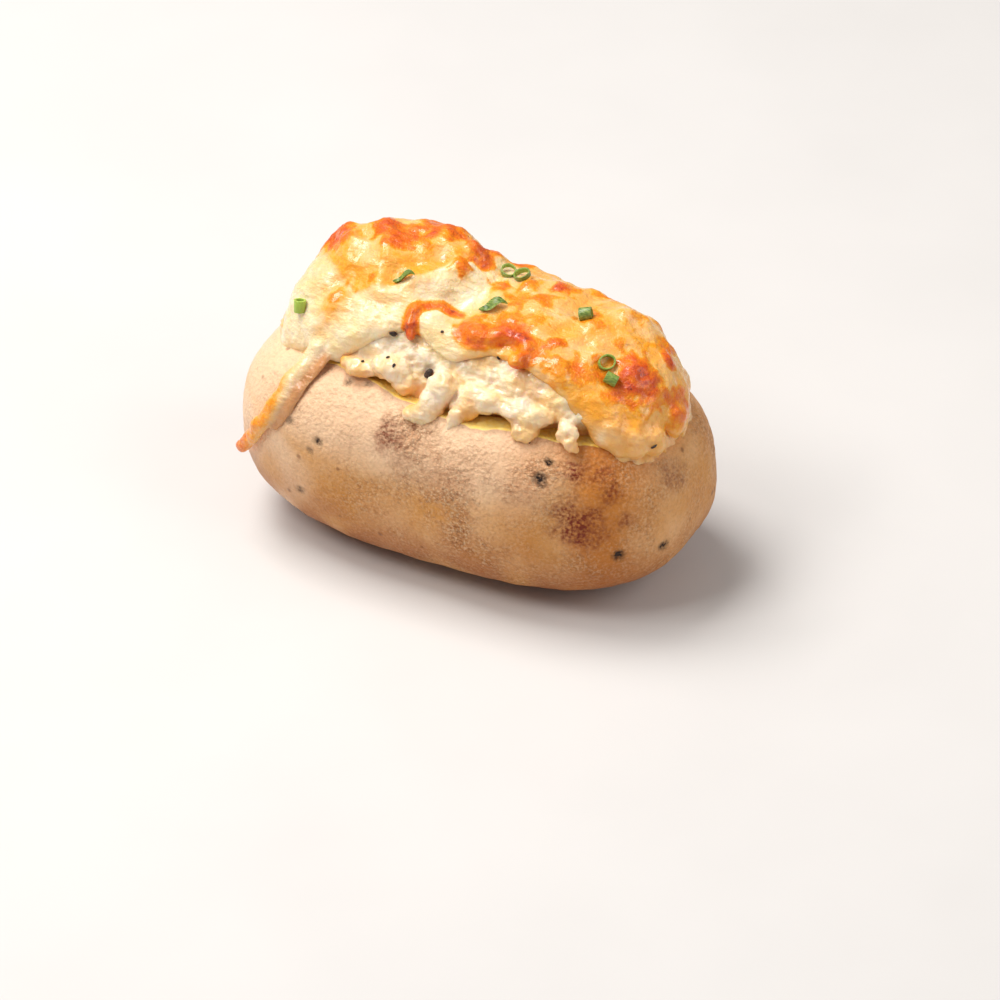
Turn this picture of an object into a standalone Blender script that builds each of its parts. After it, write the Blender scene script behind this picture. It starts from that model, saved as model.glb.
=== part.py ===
"""A stuffed baked potato: a scooped-out potato in its skin, filled with potato and cheese mash,
under a layer of melted, browned cheese with cut chives on it.

The potato lies along X on a small flat spot at Z = 0. Its front, where the filling shows most, faces -Y.
Sizes are in millimetres here, and MM turns them into Blender's metres.
"""

import math

import bmesh
import bpy
from mathutils import Matrix, Vector, noise
from mathutils.bvhtree import BVHTree

MM = 0.001
GAP = 0.35
MERGE = 0.02

# The potato before its top was cut off: a rounded box, fuller than an ellipsoid.
POTATO_LENGTH = 108.0
POTATO_WIDTH = 59.0
POTATO_DEPTH = 49.6
PLAN_POWER = 2.77
SIDE_POWER = 2.85
FLAT_SPOT_RISE = 1.2
MIDDLE_Z = POTATO_DEPTH / 2 - FLAT_SPOT_RISE

# The cut across the top, and the hollow that was scooped out below it.
RIM_Z = 44.3
RIM_SLOPE = -0.03
SCOOP_LENGTH = 68.0
SCOOP_WIDTH = 34.0
SCOOP_DEPTH = 24.0
SCOOP_POWER = 2.5
SCOOP_TOP = 0.25

# The heap of mash, as it stands on the rim. Its lumpiness is height, size and pattern of each layer of lumps.
HEAP_LENGTH = 95.5
HEAP_WIDTH = 41.0
HEAP_MIDDLE = (0.8, 2.0)
HEAP_TURN = math.radians(-4.0)
HEAP_POWER = 3.3
HEAP_HEIGHT = 13.4
HEAP_SKIRT = 8.0
HEAP_FLATNESS = 4.5
HEAP_SHOULDER = 0.5
LUMPINESS = ((1.3, 7.0, 3.1), (0.8, 3.5, 8.4))

# The melted cheese over the heap. Its reach is the share of the heap's plan that it covers,
# least at the front, where the mash shows.
CHEESE_THICKNESS = 2.8
CHEESE_REACH = 0.982
BARE_FRONT = 0.27
BARE_FROM = -0.40
BARE_TO = 0.66
BARE_SOFTNESS = 0.12

# Gentle swellings and dents of the potato: centre, height (minus is a dent) and reach.
SWELLINGS = (
    ((16.0, -30.0, 20.0), 1.1, 11.0),
    ((-8.0, -30.0, 26.0), -0.9, 10.0),
    ((36.0, -26.0, 14.0), 0.9, 9.0),
    ((44.0, -12.0, 34.0), -0.8, 8.0),
    ((-46.0, 6.0, 14.0), -0.8, 10.0),
    ((52.0, 8.0, 18.0), 0.8, 10.0),
    ((4.0, 30.0, 22.0), 0.9, 14.0),
    ((-30.0, 28.0, 30.0), -0.7, 9.0),
)

# Knobs of the heap: centre in plan, radius and height over the heap's own curve.
KNOBS = (
    ((-17.5, 11.0), 19.0, 7.5),
    ((-38.0, 4.0), 12.0, 4.0),
    ((20.0, 13.0), 22.0, 2.5),
    ((38.0, 8.0), 16.0, 3.0),
)

# Lumps of mash at the front, some of them hanging over the rim: centre and half sizes.
MASH_LUMPS = (
    ((0.0, -17.5, 48.5), (3.4, 3.0, 4.0)),
    ((-1.6, -20.5, 45.6), (2.9, 2.8, 3.2)),
    ((-3.6, -22.4, 43.6), (3.3, 2.0, 2.2)),
    ((9.5, -18.3, 48.0), (6.0, 3.2, 3.6)),
    ((5.6, -20.3, 45.6), (2.8, 2.2, 3.2)),
    ((4.9, -22.2, 43.4), (1.5, 1.5, 2.4)),
    ((20.0, -18.8, 47.5), (6.5, 3.2, 3.4)),
    ((21.6, -20.8, 44.2), (2.4, 2.0, 1.6)),
    ((30.4, -18.4, 47.0), (2.2, 2.2, 3.2)),
    ((31.6, -19.4, 44.4), (1.7, 1.6, 2.0)),
    ((-13.0, -17.0, 49.5), (4.6, 2.8, 2.6)),
    ((-20.5, -16.8, 47.6), (4.4, 2.6, 2.0)),
    ((-9.0, -17.5, 47.0), (2.6, 2.4, 2.2)),
)

# Cheese that ran down the front of the skin at the left, thick, with a thin film beside it.
STRAND = (
    (-30.0, -11.5, 53.0),
    (-32.4, -16.0, 47.2),
    (-35.6, -19.8, 42.2),
    (-38.0, -23.0, 37.0),
    (-41.5, -24.0, 30.5),
    (-46.0, -22.2, 23.0),
    (-49.0, -20.6, 18.8),
)
FILM = (
    (-26.0, -12.5, 53.5),
    (-28.8, -17.2, 46.6),
    (-32.0, -21.8, 41.4),
    (-34.8, -24.4, 35.6),
    (-38.0, -24.8, 30.0),
)

# Browned ridges of the cheese: points in plan with their height over the cheese's middle layer.
CURL = (
    (-8.7, -14.8, 0.9),
    (-10.6, -12.5, 2.0),
    (-11.1, -9.2, 2.5),
    (-8.9, -6.1, 2.4),
    (-5.7, -4.9, 1.7),
    (-1.8, -4.9, 0.4),
)
STRIP = (
    (1.8, -10.3, 0.4),
    (5.2, -11.8, 1.6),
    (8.1, -10.0, 1.9),
    (10.8, -7.9, 2.0),
    (14.3, -8.1, 2.2),
    (17.1, -10.9, 2.1),
    (15.7, -14.9, 1.6),
)

# Cut chives: rings and short tubes, with their place in plan, radius, length, and lean and turn.
# Small leaves have a place, a length and a turn.
CHIVE_WALL = 0.6
CHIVES = (
    ((2.9, 10.5), 1.6, 2.2, (0.3, 0.3)),
    ((6.1, 10.2), 1.6, 2.2, (0.3, -0.3)),
    ((33.4, -5.0), 1.9, 1.8, (0.2, 0.3)),
    ((24.8, 4.0), 1.4, 2.8, (1.3, 0.4)),
    ((35.9, -8.0), 1.3, 2.8, (1.3, -0.5)),
    ((-38.0, -9.0), 1.3, 2.8, (1.4, 0.9)),
)
LEAVES = (
    ((-15.8, -4.0), 5.0, 0.4),
    ((4.8, -1.8), 6.5, 0.5),
)
PEPPER_FLAKE = (1.1, 0.8, 1.2)
PEPPER = (-4.5, -17.0, 51.0)


def clear_scene():
    """Removes every object of the scene, so that only the model is left."""
    for thing in list(bpy.data.objects):
        bpy.data.objects.remove(thing, do_unlink=True)


def skin_point(direction, extra=0.0):
    """The point of the uncut potato's skin that lies along a direction from its middle."""
    across = (
        (abs(direction.x) / (POTATO_LENGTH / 2 + extra)) ** PLAN_POWER
        + (abs(direction.y) / (POTATO_WIDTH / 2 + extra)) ** PLAN_POWER
    ) ** (SIDE_POWER / PLAN_POWER)
    upright = (abs(direction.z) / (POTATO_DEPTH / 2 + extra)) ** SIDE_POWER
    reach = (across + upright) ** (-1.0 / SIDE_POWER)
    point = direction * reach + Vector((0.0, 0.0, MIDDLE_Z))
    for centre, height, spread in SWELLINGS:
        far = (point - Vector(centre)).length / spread
        point += direction * height * math.exp(-far * far)
    point.z = max(point.z, -extra)
    return point


def rim_z(x, y):
    """The height of the cut across the potato's top."""
    return RIM_Z + RIM_SLOPE * x + 0.5 * math.sin(0.16 * x + 0.1 * y)


def smooth_step(low, high, value):
    """0 below low, 1 above high, and a smooth rise between them."""
    share = min(max((value - low) / (high - low), 0.0), 1.0)
    return share * share * (3.0 - 2.0 * share)


def lumps(x, y, size, pattern):
    """Soft lumps of about one size, from -1 to 1, the same on every run."""
    return noise.noise(Vector((x / size, y / size, pattern)))


def heap_share(x, y):
    """How far out a point lies in the heap's plan: 0 in the middle, 1 at its edge."""
    own = Vector((x - HEAP_MIDDLE[0], y - HEAP_MIDDLE[1])) @ Matrix.Rotation(HEAP_TURN, 2)
    along = abs(own.x) / (HEAP_LENGTH / 2)
    across = abs(own.y) / (HEAP_WIDTH / 2)
    return (along**HEAP_POWER + across**HEAP_POWER) ** (1.0 / HEAP_POWER)


def heap_top(x, y):
    """The height of the mash's upper surface over a point in plan."""
    share = min(heap_share(x, y), 1.0)
    rise = HEAP_HEIGHT + HEAP_SKIRT
    for (knob_x, knob_y), radius, height in KNOBS:
        far = math.hypot(x - knob_x, y - knob_y) / radius
        rise += height * max(0.0, 1.0 - far**3) ** 0.8
    rise += sum(height * lumps(x, y, size, pattern) for height, size, pattern in LUMPINESS)
    curve = max(0.0, 1.0 - share**HEAP_FLATNESS) ** HEAP_SHOULDER
    return rim_z(x, y) - HEAP_SKIRT + rise * curve


def heap_plan(direction, extra=0.0):
    """Where a sphere's direction comes to lie in the heap's plan, a rounded rectangle."""
    flat = math.hypot(direction.x, direction.y)
    if flat < 1e-9:
        return HEAP_MIDDLE
    cos_a = direction.x / flat
    sin_a = direction.y / flat
    edge = flat * (abs(cos_a) ** HEAP_POWER + abs(sin_a) ** HEAP_POWER) ** (-1.0 / HEAP_POWER)
    own = Vector((edge * cos_a * (HEAP_LENGTH / 2 + extra), edge * sin_a * (HEAP_WIDTH / 2 + extra)))
    turned = Matrix.Rotation(HEAP_TURN, 2) @ own
    return HEAP_MIDDLE[0] + turned.x, HEAP_MIDDLE[1] + turned.y


def mash_point(direction, extra=0.0):
    """A point of the heap: its uneven top, or its level underside, with extra all round."""
    x, y = heap_plan(direction, extra)
    if direction.z <= 0.0:
        return Vector((x, y, rim_z(x, y) - HEAP_SKIRT - extra + 3.0 * direction.z))
    own_x, own_y = heap_plan(direction)
    return Vector((x, y, heap_top(own_x, own_y) + extra))


def scoop_point(direction, extra=0.0):
    """A point of the scooped-out hollow, drawn up past the rim at its top."""
    half = Vector((SCOOP_LENGTH / 2, SCOOP_WIDTH / 2, SCOOP_DEPTH))
    power = SCOOP_POWER
    total = sum((abs(direction[i]) / (half[i] + extra)) ** power for i in range(3))
    point = direction * total ** (-1.0 / power)
    if point.z > 0.0:
        point.z *= SCOOP_TOP
    return point + Vector((0.0, 0.0, RIM_Z - 1.0))


def material(name, colour, roughness):
    """A plain food finish."""
    finish = bpy.data.materials.new(name)
    finish.use_nodes = True
    shader = finish.node_tree.nodes["Principled BSDF"]
    shader.inputs["Base Color"].default_value = (*colour, 1.0)
    shader.inputs["Roughness"].default_value = roughness
    shader.inputs["Metallic"].default_value = 0.0
    return finish


def make_object(name, mesh_tools, finish=None):
    """Turns a bmesh in millimetres into an object of the scene, in metres."""
    bmesh.ops.scale(mesh_tools, vec=(MM, MM, MM), verts=mesh_tools.verts)
    mesh = bpy.data.meshes.new(name)
    mesh_tools.to_mesh(mesh)
    mesh_tools.free()
    mesh.shade_smooth()
    thing = bpy.data.objects.new(name, mesh)
    bpy.context.scene.collection.objects.link(thing)
    if finish:
        mesh.materials.append(finish)
    return thing


def round_ball(name, place, fineness, finish=None):
    """An icosphere whose points are each moved to where place() puts their direction."""
    ball = bmesh.new()
    bmesh.ops.create_icosphere(ball, subdivisions=fineness, radius=1.0)
    for vert in ball.verts:
        vert.co = place(vert.co.normalized())
    return make_object(name, ball, finish)


def ringed_ball(name, place, around, rows, finish=None):
    """A sphere of meridians and rings whose points are each moved by place()."""
    ball = bmesh.new()
    bmesh.ops.create_uvsphere(ball, u_segments=around, v_segments=rows, radius=1.0)
    for vert in ball.verts:
        vert.co = place(vert.co.normalized())
    return make_object(name, ball, finish)


def boolean(target, cutter, operation, solver="EXACT"):
    """Applies one Boolean to target and removes the cutter."""
    modifier = target.modifiers.new("boolean", "BOOLEAN")
    modifier.operation = operation
    modifier.object = cutter
    modifier.solver = solver
    graph = bpy.context.evaluated_depsgraph_get()
    mesh = bpy.data.meshes.new_from_object(target.evaluated_get(graph))
    target.modifiers.remove(modifier)
    target.data = mesh
    bpy.data.objects.remove(cutter, do_unlink=True)


def above_the_rim(extra=0.0):
    """A slab whose wavy underside is the cut across the potato's top."""
    slab = bmesh.new()
    bmesh.ops.create_grid(slab, x_segments=16, y_segments=8, size=0.55)
    for vert in slab.verts:
        x = vert.co.x * POTATO_LENGTH
        y = vert.co.y * POTATO_WIDTH
        vert.co = Vector((x, y, rim_z(x, y) + extra))
    grown = bmesh.ops.extrude_face_region(slab, geom=slab.faces[:])
    top = [item for item in grown["geom"] if isinstance(item, bmesh.types.BMVert)]
    for vert in top:
        vert.co.z = RIM_Z + POTATO_DEPTH
    bmesh.ops.recalc_face_normals(slab, faces=slab.faces[:])
    return make_object("above_the_rim", slab)


def cut_potato(name, extra, finish=None):
    """The potato with its top cut off and no hollow yet."""
    potato = ringed_ball(name, lambda way: skin_point(way, extra), 60, 34, finish)
    boolean(potato, above_the_rim(extra), "DIFFERENCE")
    return potato


def egg(centre, half_sizes, extra=0.0):
    """A small ellipsoid."""
    half = Vector([size + extra for size in half_sizes])
    return round_ball("egg", lambda way: Vector(centre) + way * half, 2)


def on_path(points, share):
    """A point and its heading on the smooth curve through points, from share 0 to 1."""
    spans = len(points) - 1
    span = min(int(share * spans), spans - 1)
    step = share * spans - span
    before = Vector(points[max(span - 1, 0)])
    start = Vector(points[span])
    end = Vector(points[span + 1])
    after = Vector(points[min(span + 2, spans)])
    lead_in = (end - before) / 2
    lead_out = (after - start) / 2
    place = (
        start * (2 * step**3 - 3 * step**2 + 1)
        + lead_in * (step**3 - 2 * step**2 + step)
        + end * (3 * step**2 - 2 * step**3)
        + lead_out * (step**3 - step**2)
    )
    heading = (
        (end - start) * (6 * step - 6 * step**2)
        + lead_in * (3 * step**2 - 4 * step + 1)
        + lead_out * (3 * step**2 - 2 * step)
    )
    return place, heading.normalized()


def bulge(point):
    """The way that the potato's side faces near a point."""
    return Vector(
        (
            point.x / (POTATO_LENGTH / 2) ** 2,
            point.y / (POTATO_WIDTH / 2) ** 2,
            (point.z - MIDDLE_Z) / (POTATO_DEPTH / 2) ** 2,
        )
    ).normalized()


def ridge(points, half_width, half_height, facing):
    """A flattened round strand along a path, with tapered ends, that faces facing(point)."""

    def place(way):
        share = min(max(0.5 + math.asin(way.z) / math.pi, 0.0), 1.0)
        middle, heading = on_path(points, share)
        side = facing(middle).cross(heading).normalized()
        outward = heading.cross(side)
        flat = math.hypot(way.x, way.y)
        if flat < 1e-6:
            return middle
        full = min(1.0, flat**0.4) / flat
        return middle + side * way.x * full * half_width + outward * way.y * full * half_height

    return ringed_ball("ridge", place, 8, 2 * len(points))


def straight_up(_point):
    """The way that a ridge on top of the heap faces."""
    return Vector((0.0, 0.0, 1.0))


def cheese_reach(way):
    """The share of the heap's plan that the cheese covers in one direction."""
    angle = math.atan2(way.y, way.x)
    lobes = 0.010 * math.sin(7.0 * angle + 0.6) + 0.008 * math.sin(12.0 * angle)
    along = math.cos(angle)
    bare = smooth_step(BARE_FROM - BARE_SOFTNESS, BARE_FROM + BARE_SOFTNESS, along)
    bare *= 1.0 - smooth_step(BARE_TO - BARE_SOFTNESS, BARE_TO + BARE_SOFTNESS, along)
    bare *= smooth_step(0.0, 0.5, -math.sin(angle))
    return CHEESE_REACH + lobes - BARE_FRONT * bare * (1.0 + 0.2 * math.sin(9.0 * angle))


def cheese_point(way):
    """A point of the cheese's upper surface, or of a surface sunk in the mash below it."""
    reach = cheese_reach(way)
    x = way.x * reach
    y = way.y * reach
    on_mash = Vector((x, y, math.sqrt(max(0.0, 1.0 - x * x - y * y))))
    if way.z < 0.0:
        return mash_point(on_mash, -1.5 * (-way.z) ** 0.4)
    return mash_point(on_mash, CHEESE_THICKNESS * way.z**0.22)


def over_heap(points):
    """Points in plan with a height over the mash, as points in space."""
    return [(x, y, heap_top(x, y) + CHEESE_THICKNESS / 2 + lift) for x, y, lift in points]


def surface_of(thing):
    """An object's surface in millimetres, to be asked for its height."""
    tools = bmesh.new()
    tools.from_mesh(thing.data)
    bmesh.ops.scale(tools, vec=(1 / MM, 1 / MM, 1 / MM), verts=tools.verts)
    surface = BVHTree.FromBMesh(tools)
    tools.free()
    return surface


def seat(surface, x, y):
    """Where a line straight down at x, y meets the surface, and the way the surface faces there."""
    above = Vector((x, y, 2 * POTATO_DEPTH))
    place, facing, _face, _distance = surface.ray_cast(above, Vector((0.0, 0.0, -1.0)))
    return place, facing


def chive(surface, spot, radius, length, tilt):
    """A short tube of chive that lies on the cheese."""
    ring = bmesh.new()
    sides = 8
    bmesh.ops.create_cone(ring, cap_ends=True, segments=sides, radius1=radius, radius2=radius, depth=length)
    caps = [face for face in ring.faces if len(face.verts) == sides]
    bmesh.ops.inset_individual(ring, faces=caps, thickness=CHIVE_WALL)
    bmesh.ops.bridge_loops(ring, edges=[edge for face in caps for edge in face.edges])
    bmesh.ops.delete(ring, geom=caps, context="FACES_ONLY")
    bmesh.ops.recalc_face_normals(ring, faces=ring.faces[:])
    lean, turn = tilt
    reach = radius * math.sin(lean) + length / 2 * math.cos(lean)
    place, facing = seat(surface, *spot)
    upright = Vector((0.0, 0.0, 1.0)).rotation_difference(facing).to_matrix().to_4x4()
    lying = Matrix.Rotation(turn * math.pi, 4, "Z") @ Matrix.Rotation(lean, 4, "X")
    stand = Matrix.Translation(place + facing * reach * 0.7)
    bmesh.ops.transform(ring, matrix=stand @ upright @ lying, verts=ring.verts)
    return make_object("chive", ring)


def leaf(surface, spot, length, turn):
    """A thin wavy leaf that lies on the cheese."""

    def place(way):
        along = way.x * length / 2
        across = way.y * length * 0.2 * (1.0 - 0.5 * way.x)
        heading = Matrix.Rotation(turn, 2) @ Vector((along, across))
        below, _facing = seat(surface, spot[0] + heading.x, spot[1] + heading.y)
        wave = 0.5 * math.sin(way.x * 3.0) + 0.6 * abs(way.y)
        return below + Vector((0.0, 0.0, 0.4 + wave + 0.55 * way.z))

    return round_ball("leaf", place, 2)


def fuse(target, pieces):
    """Joins a list of closed pieces to target with one Boolean union."""
    group = bpy.data.collections.new("pieces")
    for piece in pieces:
        group.objects.link(piece)
    modifier = target.modifiers.new("fuse", "BOOLEAN")
    modifier.operation = "UNION"
    modifier.operand_type = "COLLECTION"
    modifier.collection = group
    modifier.solver = "MANIFOLD"
    graph = bpy.context.evaluated_depsgraph_get()
    mesh = bpy.data.meshes.new_from_object(target.evaluated_get(graph))
    target.modifiers.remove(modifier)
    target.data = mesh
    for piece in pieces:
        bpy.data.objects.remove(piece, do_unlink=True)
    bpy.data.collections.remove(group)


def drop_scraps(target):
    """Merges what lies closer than MERGE and keeps only the largest connected piece of an object."""
    tools = bmesh.new()
    tools.from_mesh(target.data)
    bmesh.ops.remove_doubles(tools, verts=tools.verts, dist=MERGE * MM)
    unseen = set(tools.faces)
    pieces = []
    while unseen:
        reached = [unseen.pop()]
        for face in reached:
            around = {other for edge in face.edges for other in edge.link_faces} & unseen
            unseen -= around
            reached.extend(around)
        pieces.append(reached)
    pieces.sort(key=len)
    for scrap in pieces[:-1]:
        bmesh.ops.delete(tools, geom=scrap, context="FACES")
    loose = [vert for vert in tools.verts if not vert.link_faces]
    bmesh.ops.delete(tools, geom=loose, context="VERTS")
    tools.to_mesh(target.data)
    tools.free()


def mash_heap(name, extra, finish=None):
    """The heap with its front lumps, before it is fitted to the potato."""
    heap = round_ball(name, lambda way: mash_point(way, extra), 4, finish)
    fuse(heap, [egg(centre, half, extra) for centre, half in MASH_LUMPS])
    return heap


def make_potato():
    """The potato, cut open at the top and scooped out."""
    skin = material("potato_skin", (0.52, 0.30, 0.13), 0.75)
    potato = cut_potato("potato", 0.0, skin)
    boolean(potato, ringed_ball("scoop", scoop_point, 24, 12), "DIFFERENCE")
    drop_scraps(potato)


def make_mash():
    """The filling: it fills the hollow and stands in a heap on the rim."""
    mash = mash_heap("mash", 0.0, material("mash", (0.90, 0.78, 0.45), 0.5))
    boolean(mash, cut_potato("clearance", GAP), "DIFFERENCE", "MANIFOLD")
    boolean(mash, ringed_ball("plug", lambda way: scoop_point(way, -GAP), 24, 12), "UNION", "MANIFOLD")
    fuse(mash, [egg(PEPPER, PEPPER_FLAKE)])
    drop_scraps(mash)


def make_cheese():
    """The melted cheese on the heap, with its ridges, its strand and the chives on it."""
    finish = material("melted_cheese", (0.93, 0.60, 0.22), 0.35)
    cheese = round_ball("melted_cheese", cheese_point, 5, finish)
    ridges = [
        ridge(STRAND, 2.3, 1.6, bulge),
        ridge(FILM, 1.9, 0.9, bulge),
        ridge(over_heap(CURL), 1.1, 1.9, straight_up),
        ridge(over_heap(STRIP), 2.4, 1.5, straight_up),
    ]
    fuse(cheese, ridges)
    boolean(cheese, mash_heap("clearance", 2 * GAP), "DIFFERENCE", "MANIFOLD")
    boolean(cheese, cut_potato("clearance", GAP), "DIFFERENCE", "MANIFOLD")
    surface = surface_of(cheese)
    chives = [chive(surface, spot, radius, length, tilt) for spot, radius, length, tilt in CHIVES]
    leaves = [leaf(surface, spot, length, turn) for spot, length, turn in LEAVES]
    fuse(cheese, chives + leaves)
    drop_scraps(cheese)


def main():
    """Builds the potato, its filling and its topping."""
    clear_scene()
    make_potato()
    make_mash()
    make_cheese()


main()
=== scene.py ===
"""The looks of a stuffed baked potato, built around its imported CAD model.

The potato lies along X on Z = 0 and its open front faces -Y. Shapes are worked out in
millimetres and are turned into metres when a piece is made. The shape rules and their numbers
are those of the part's source, with finer relief on top of them.
"""

import logging
import math
from dataclasses import dataclass, field
from enum import Enum
from typing import Callable, Sequence

import bmesh
import bpy
import numpy as np
from mathutils import Matrix, Vector, noise
from mathutils.bvhtree import BVHTree


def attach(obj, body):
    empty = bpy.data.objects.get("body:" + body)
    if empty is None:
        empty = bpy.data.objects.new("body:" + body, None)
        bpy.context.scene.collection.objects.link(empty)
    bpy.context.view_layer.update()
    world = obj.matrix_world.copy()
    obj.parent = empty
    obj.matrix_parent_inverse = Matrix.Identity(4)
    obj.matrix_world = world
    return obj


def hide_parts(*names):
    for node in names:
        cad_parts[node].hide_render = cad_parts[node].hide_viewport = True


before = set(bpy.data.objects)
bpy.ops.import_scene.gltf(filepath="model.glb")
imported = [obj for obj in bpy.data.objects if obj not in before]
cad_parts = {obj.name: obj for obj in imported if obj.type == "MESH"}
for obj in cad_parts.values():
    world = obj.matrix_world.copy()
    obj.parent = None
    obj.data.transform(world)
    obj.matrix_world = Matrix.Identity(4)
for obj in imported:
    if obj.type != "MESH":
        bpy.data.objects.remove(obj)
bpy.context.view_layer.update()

LOG = logging.getLogger("stuffed_potato")
MM = 0.001
BODY = "root"
TINY = 1e-6
NEAR_POLE = 1e-9
UP = Vector((0.0, 0.0, 1.0))
Point = tuple[float, float, float]
Spot = tuple[float, float]
Colour = tuple[float, float, float]
Patch = tuple[Point, float, float]
PlanPatch = tuple[Spot, float, float]
Lump = tuple[Point, Point]
Shell = bmesh.types.BMesh
Piece = bpy.types.Object
Finish = bpy.types.Material
Socket = bpy.types.NodeSocket
Placing = Callable[[np.ndarray], np.ndarray]

# The potato before its top was cut off. Its round underside is cut flat by the table.
POTATO_LENGTH = 108.0
POTATO_WIDTH = 59.0
POTATO_DEPTH = 49.6
PLAN_POWER = 2.77
SIDE_POWER = 2.85
CUT_BY_TABLE = 1.2
MIDDLE_Z = POTATO_DEPTH / 2 - CUT_BY_TABLE
RIM_Z = 44.3
RIM_SLOPE = -0.03
RIM_WAVE = 0.5
RIM_WAVE_ALONG = 0.16
RIM_WAVE_ACROSS = 0.1

# Gentle swellings and dents of the potato: centre, height (minus is a dent) and reach.
SWELLINGS = (
    ((16.0, -30.0, 20.0), 1.1, 11.0), ((-8.0, -30.0, 26.0), -0.9, 10.0),
    ((36.0, -26.0, 14.0), 0.9, 9.0), ((44.0, -12.0, 34.0), -0.8, 8.0),
    ((-46.0, 6.0, 14.0), -0.8, 10.0), ((52.0, 8.0, 18.0), 0.8, 10.0),
    ((4.0, 30.0, 22.0), 0.9, 14.0), ((-30.0, 28.0, 30.0), -0.7, 9.0),
)

# The heap of mash. Lumps are given as height, size and seed.
HEAP_LENGTH = 95.5
HEAP_WIDTH = 41.0
HEAP_MIDDLE = (0.8, 2.0)
HEAP_TURN = math.radians(-4.0)
HEAP_POWER = 3.3
HEAP_HEIGHT = 13.4
HEAP_SKIRT = 8.0
HEAP_FLATNESS = 4.5
HEAP_SHOULDER = 0.5
HEAP_BELLY = 3.0
HEAP_LUMPS = ((1.3, 7.0, 3.1), (0.8, 3.5, 8.4))
KNOBS = (
    ((-17.5, 11.0), 19.0, 7.5), ((-38.0, 4.0), 12.0, 4.0), ((20.0, 13.0), 22.0, 2.5),
    ((38.0, 8.0), 16.0, 3.0),
)
KNOB_POWER = 3
KNOB_SHOULDER = 0.8

# The melted cheese. Lobes are given as height, waves round the edge and shift. Where it is
# feathered, between places along the heap, it thins sooner towards its edge.
CHEESE_THICKNESS = 2.8
CHEESE_SINK = 1.5
CHEESE_EDGE = 0.26
CHEESE_FEATHER = 0.5
FEATHERED_LEFT = (-24.0, -42.0)
FEATHERED_FROM = (16.0, 23.0)
FEATHERED_TO = (40.0, 33.0)
UNDERSIDE_CURVE = 0.4
CHEESE_REACH = 0.982
CHEESE_LOBES = ((0.010, 7.0, 0.6), (0.008, 12.0, 0.0))
BARE_FRONT = 0.27
BARE_FROM = -0.40
BARE_TO = 0.66
BARE_SOFTNESS = 0.12
BARE_SIDE = (0.0, 0.5)
BARE_WAVE = 0.2
BARE_WAVES = 9.0

# Bumps and hollows of the melted cheese: centre in plan, radius and height.
CHEESE_BUMPS = (
    ((-4.5, 18.5), 6.5, -3.2), ((-37.0, 17.5), 6.0, -1.6), ((-5.0, 10.9), 3.4, 1.5),
    ((-1.8, 14.0), 2.6, 1.3), ((-5.6, 3.8), 3.0, 1.6), ((-29.9, -9.8), 3.6, 1.5),
    ((-34.8, 3.5), 4.4, 1.4), ((-38.6, 9.0), 4.6, 2.4), ((-32.5, 12.5), 4.0, -1.6),
    ((-30.0, 6.0), 3.0, -1.6), ((-23.0, 7.5), 5.5, 0.5), ((-14.0, 15.0), 5.0, 0.8),
    ((-18.0, 8.0), 2.6, -0.6), ((-28.0, -5.4), 3.4, -0.8), ((-24.0, -5.4), 4.2, -1.4),
    ((-18.5, -4.0), 4.0, -1.6), ((-14.5, 0.0), 3.6, -1.5), ((-11.0, 5.0), 3.4, -1.2),
    ((-22.0, -10.0), 4.6, 0.8), ((-14.0, -7.0), 5.0, 0.9), ((-8.5, 0.0), 3.6, 0.7),
    ((-6.4, -9.6), 4.8, 2.1), ((3.0, -8.0), 3.6, 0.8), ((9.5, -4.5), 4.0, 0.8),
    ((15.2, 10.1), 2.0, 1.1), ((8.5, 9.1), 3.0, 0.7), ((12.0, 6.0), 2.6, -0.5),
    ((41.0, -4.5), 5.6, 1.0), ((44.2, 4.9), 2.0, 0.9), ((49.6, 0.0), 3.6, 0.9),
    ((22.4, -6.7), 2.2, 0.9), ((25.6, -12.6), 4.0, 1.0), ((30.0, -8.0), 3.6, 0.7),
    ((28.0, -2.0), 3.0, -0.6), ((34.0, 0.0), 4.0, -0.6), ((38.0, 9.0), 4.0, 0.7),
    ((37.0, 17.0), 4.6, 1.2), ((30.0, 12.0), 4.0, -0.6), ((22.0, 16.0), 4.0, 0.7),
    ((4.0, 1.0), 3.6, 0.6), ((11.0, -11.0), 2.6, -0.8), ((29.5, -15.5), 3.6, -0.9),
    ((23.5, -16.0), 2.6, -0.7),
)

# Where bumps, patches and paths begin and end to fade, in their own radius, and how ragged
# patches are, as height, size and seed.
BUMP_FADE = (0.15, 1.15)
PLAN_FADE = (0.25, 1.5)
SPACE_FADE = (0.1, 1.3)
PATH_FADE = (0.3, 1.1)
PLAN_RAGGED = ((1.0, 2.4, 5.0), (0.35, 1.1, 9.0))
SPACE_RAGGED = ((1.0, 3.0, 2.0), (0.6, 1.3, 6.0))

# How finely things are made: a ridge's sides, and its rows for each point of its path.
RIDGE_SIDES = 24
RIDGE_ROWS = 16
RIDGE_TIP = 0.18
PATH_STEPS = 40


class Slot(Enum):
    """The record's material slots."""

    SKIN = "potato_skin"
    MASH = "mash"
    CHEESE = "melted_cheese"


def to_linear(value: float) -> float:
    """One channel of a screen colour, as light.

    Args:
        value: The channel, from 0 to 255.

    Returns:
        The light, from 0 to 1.
    """
    share = value / 255.0
    if share <= 0.04045:
        return share / 12.92
    return ((share + 0.055) / 1.055) ** 2.4


def paint(red: float, green: float, blue: float) -> Colour:
    """A screen colour of channels from 0 to 255, as the light that a shader takes."""
    return to_linear(red), to_linear(green), to_linear(blue)


# Shape rules. Each takes arrays of points or directions, one a row, in millimetres.


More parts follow.
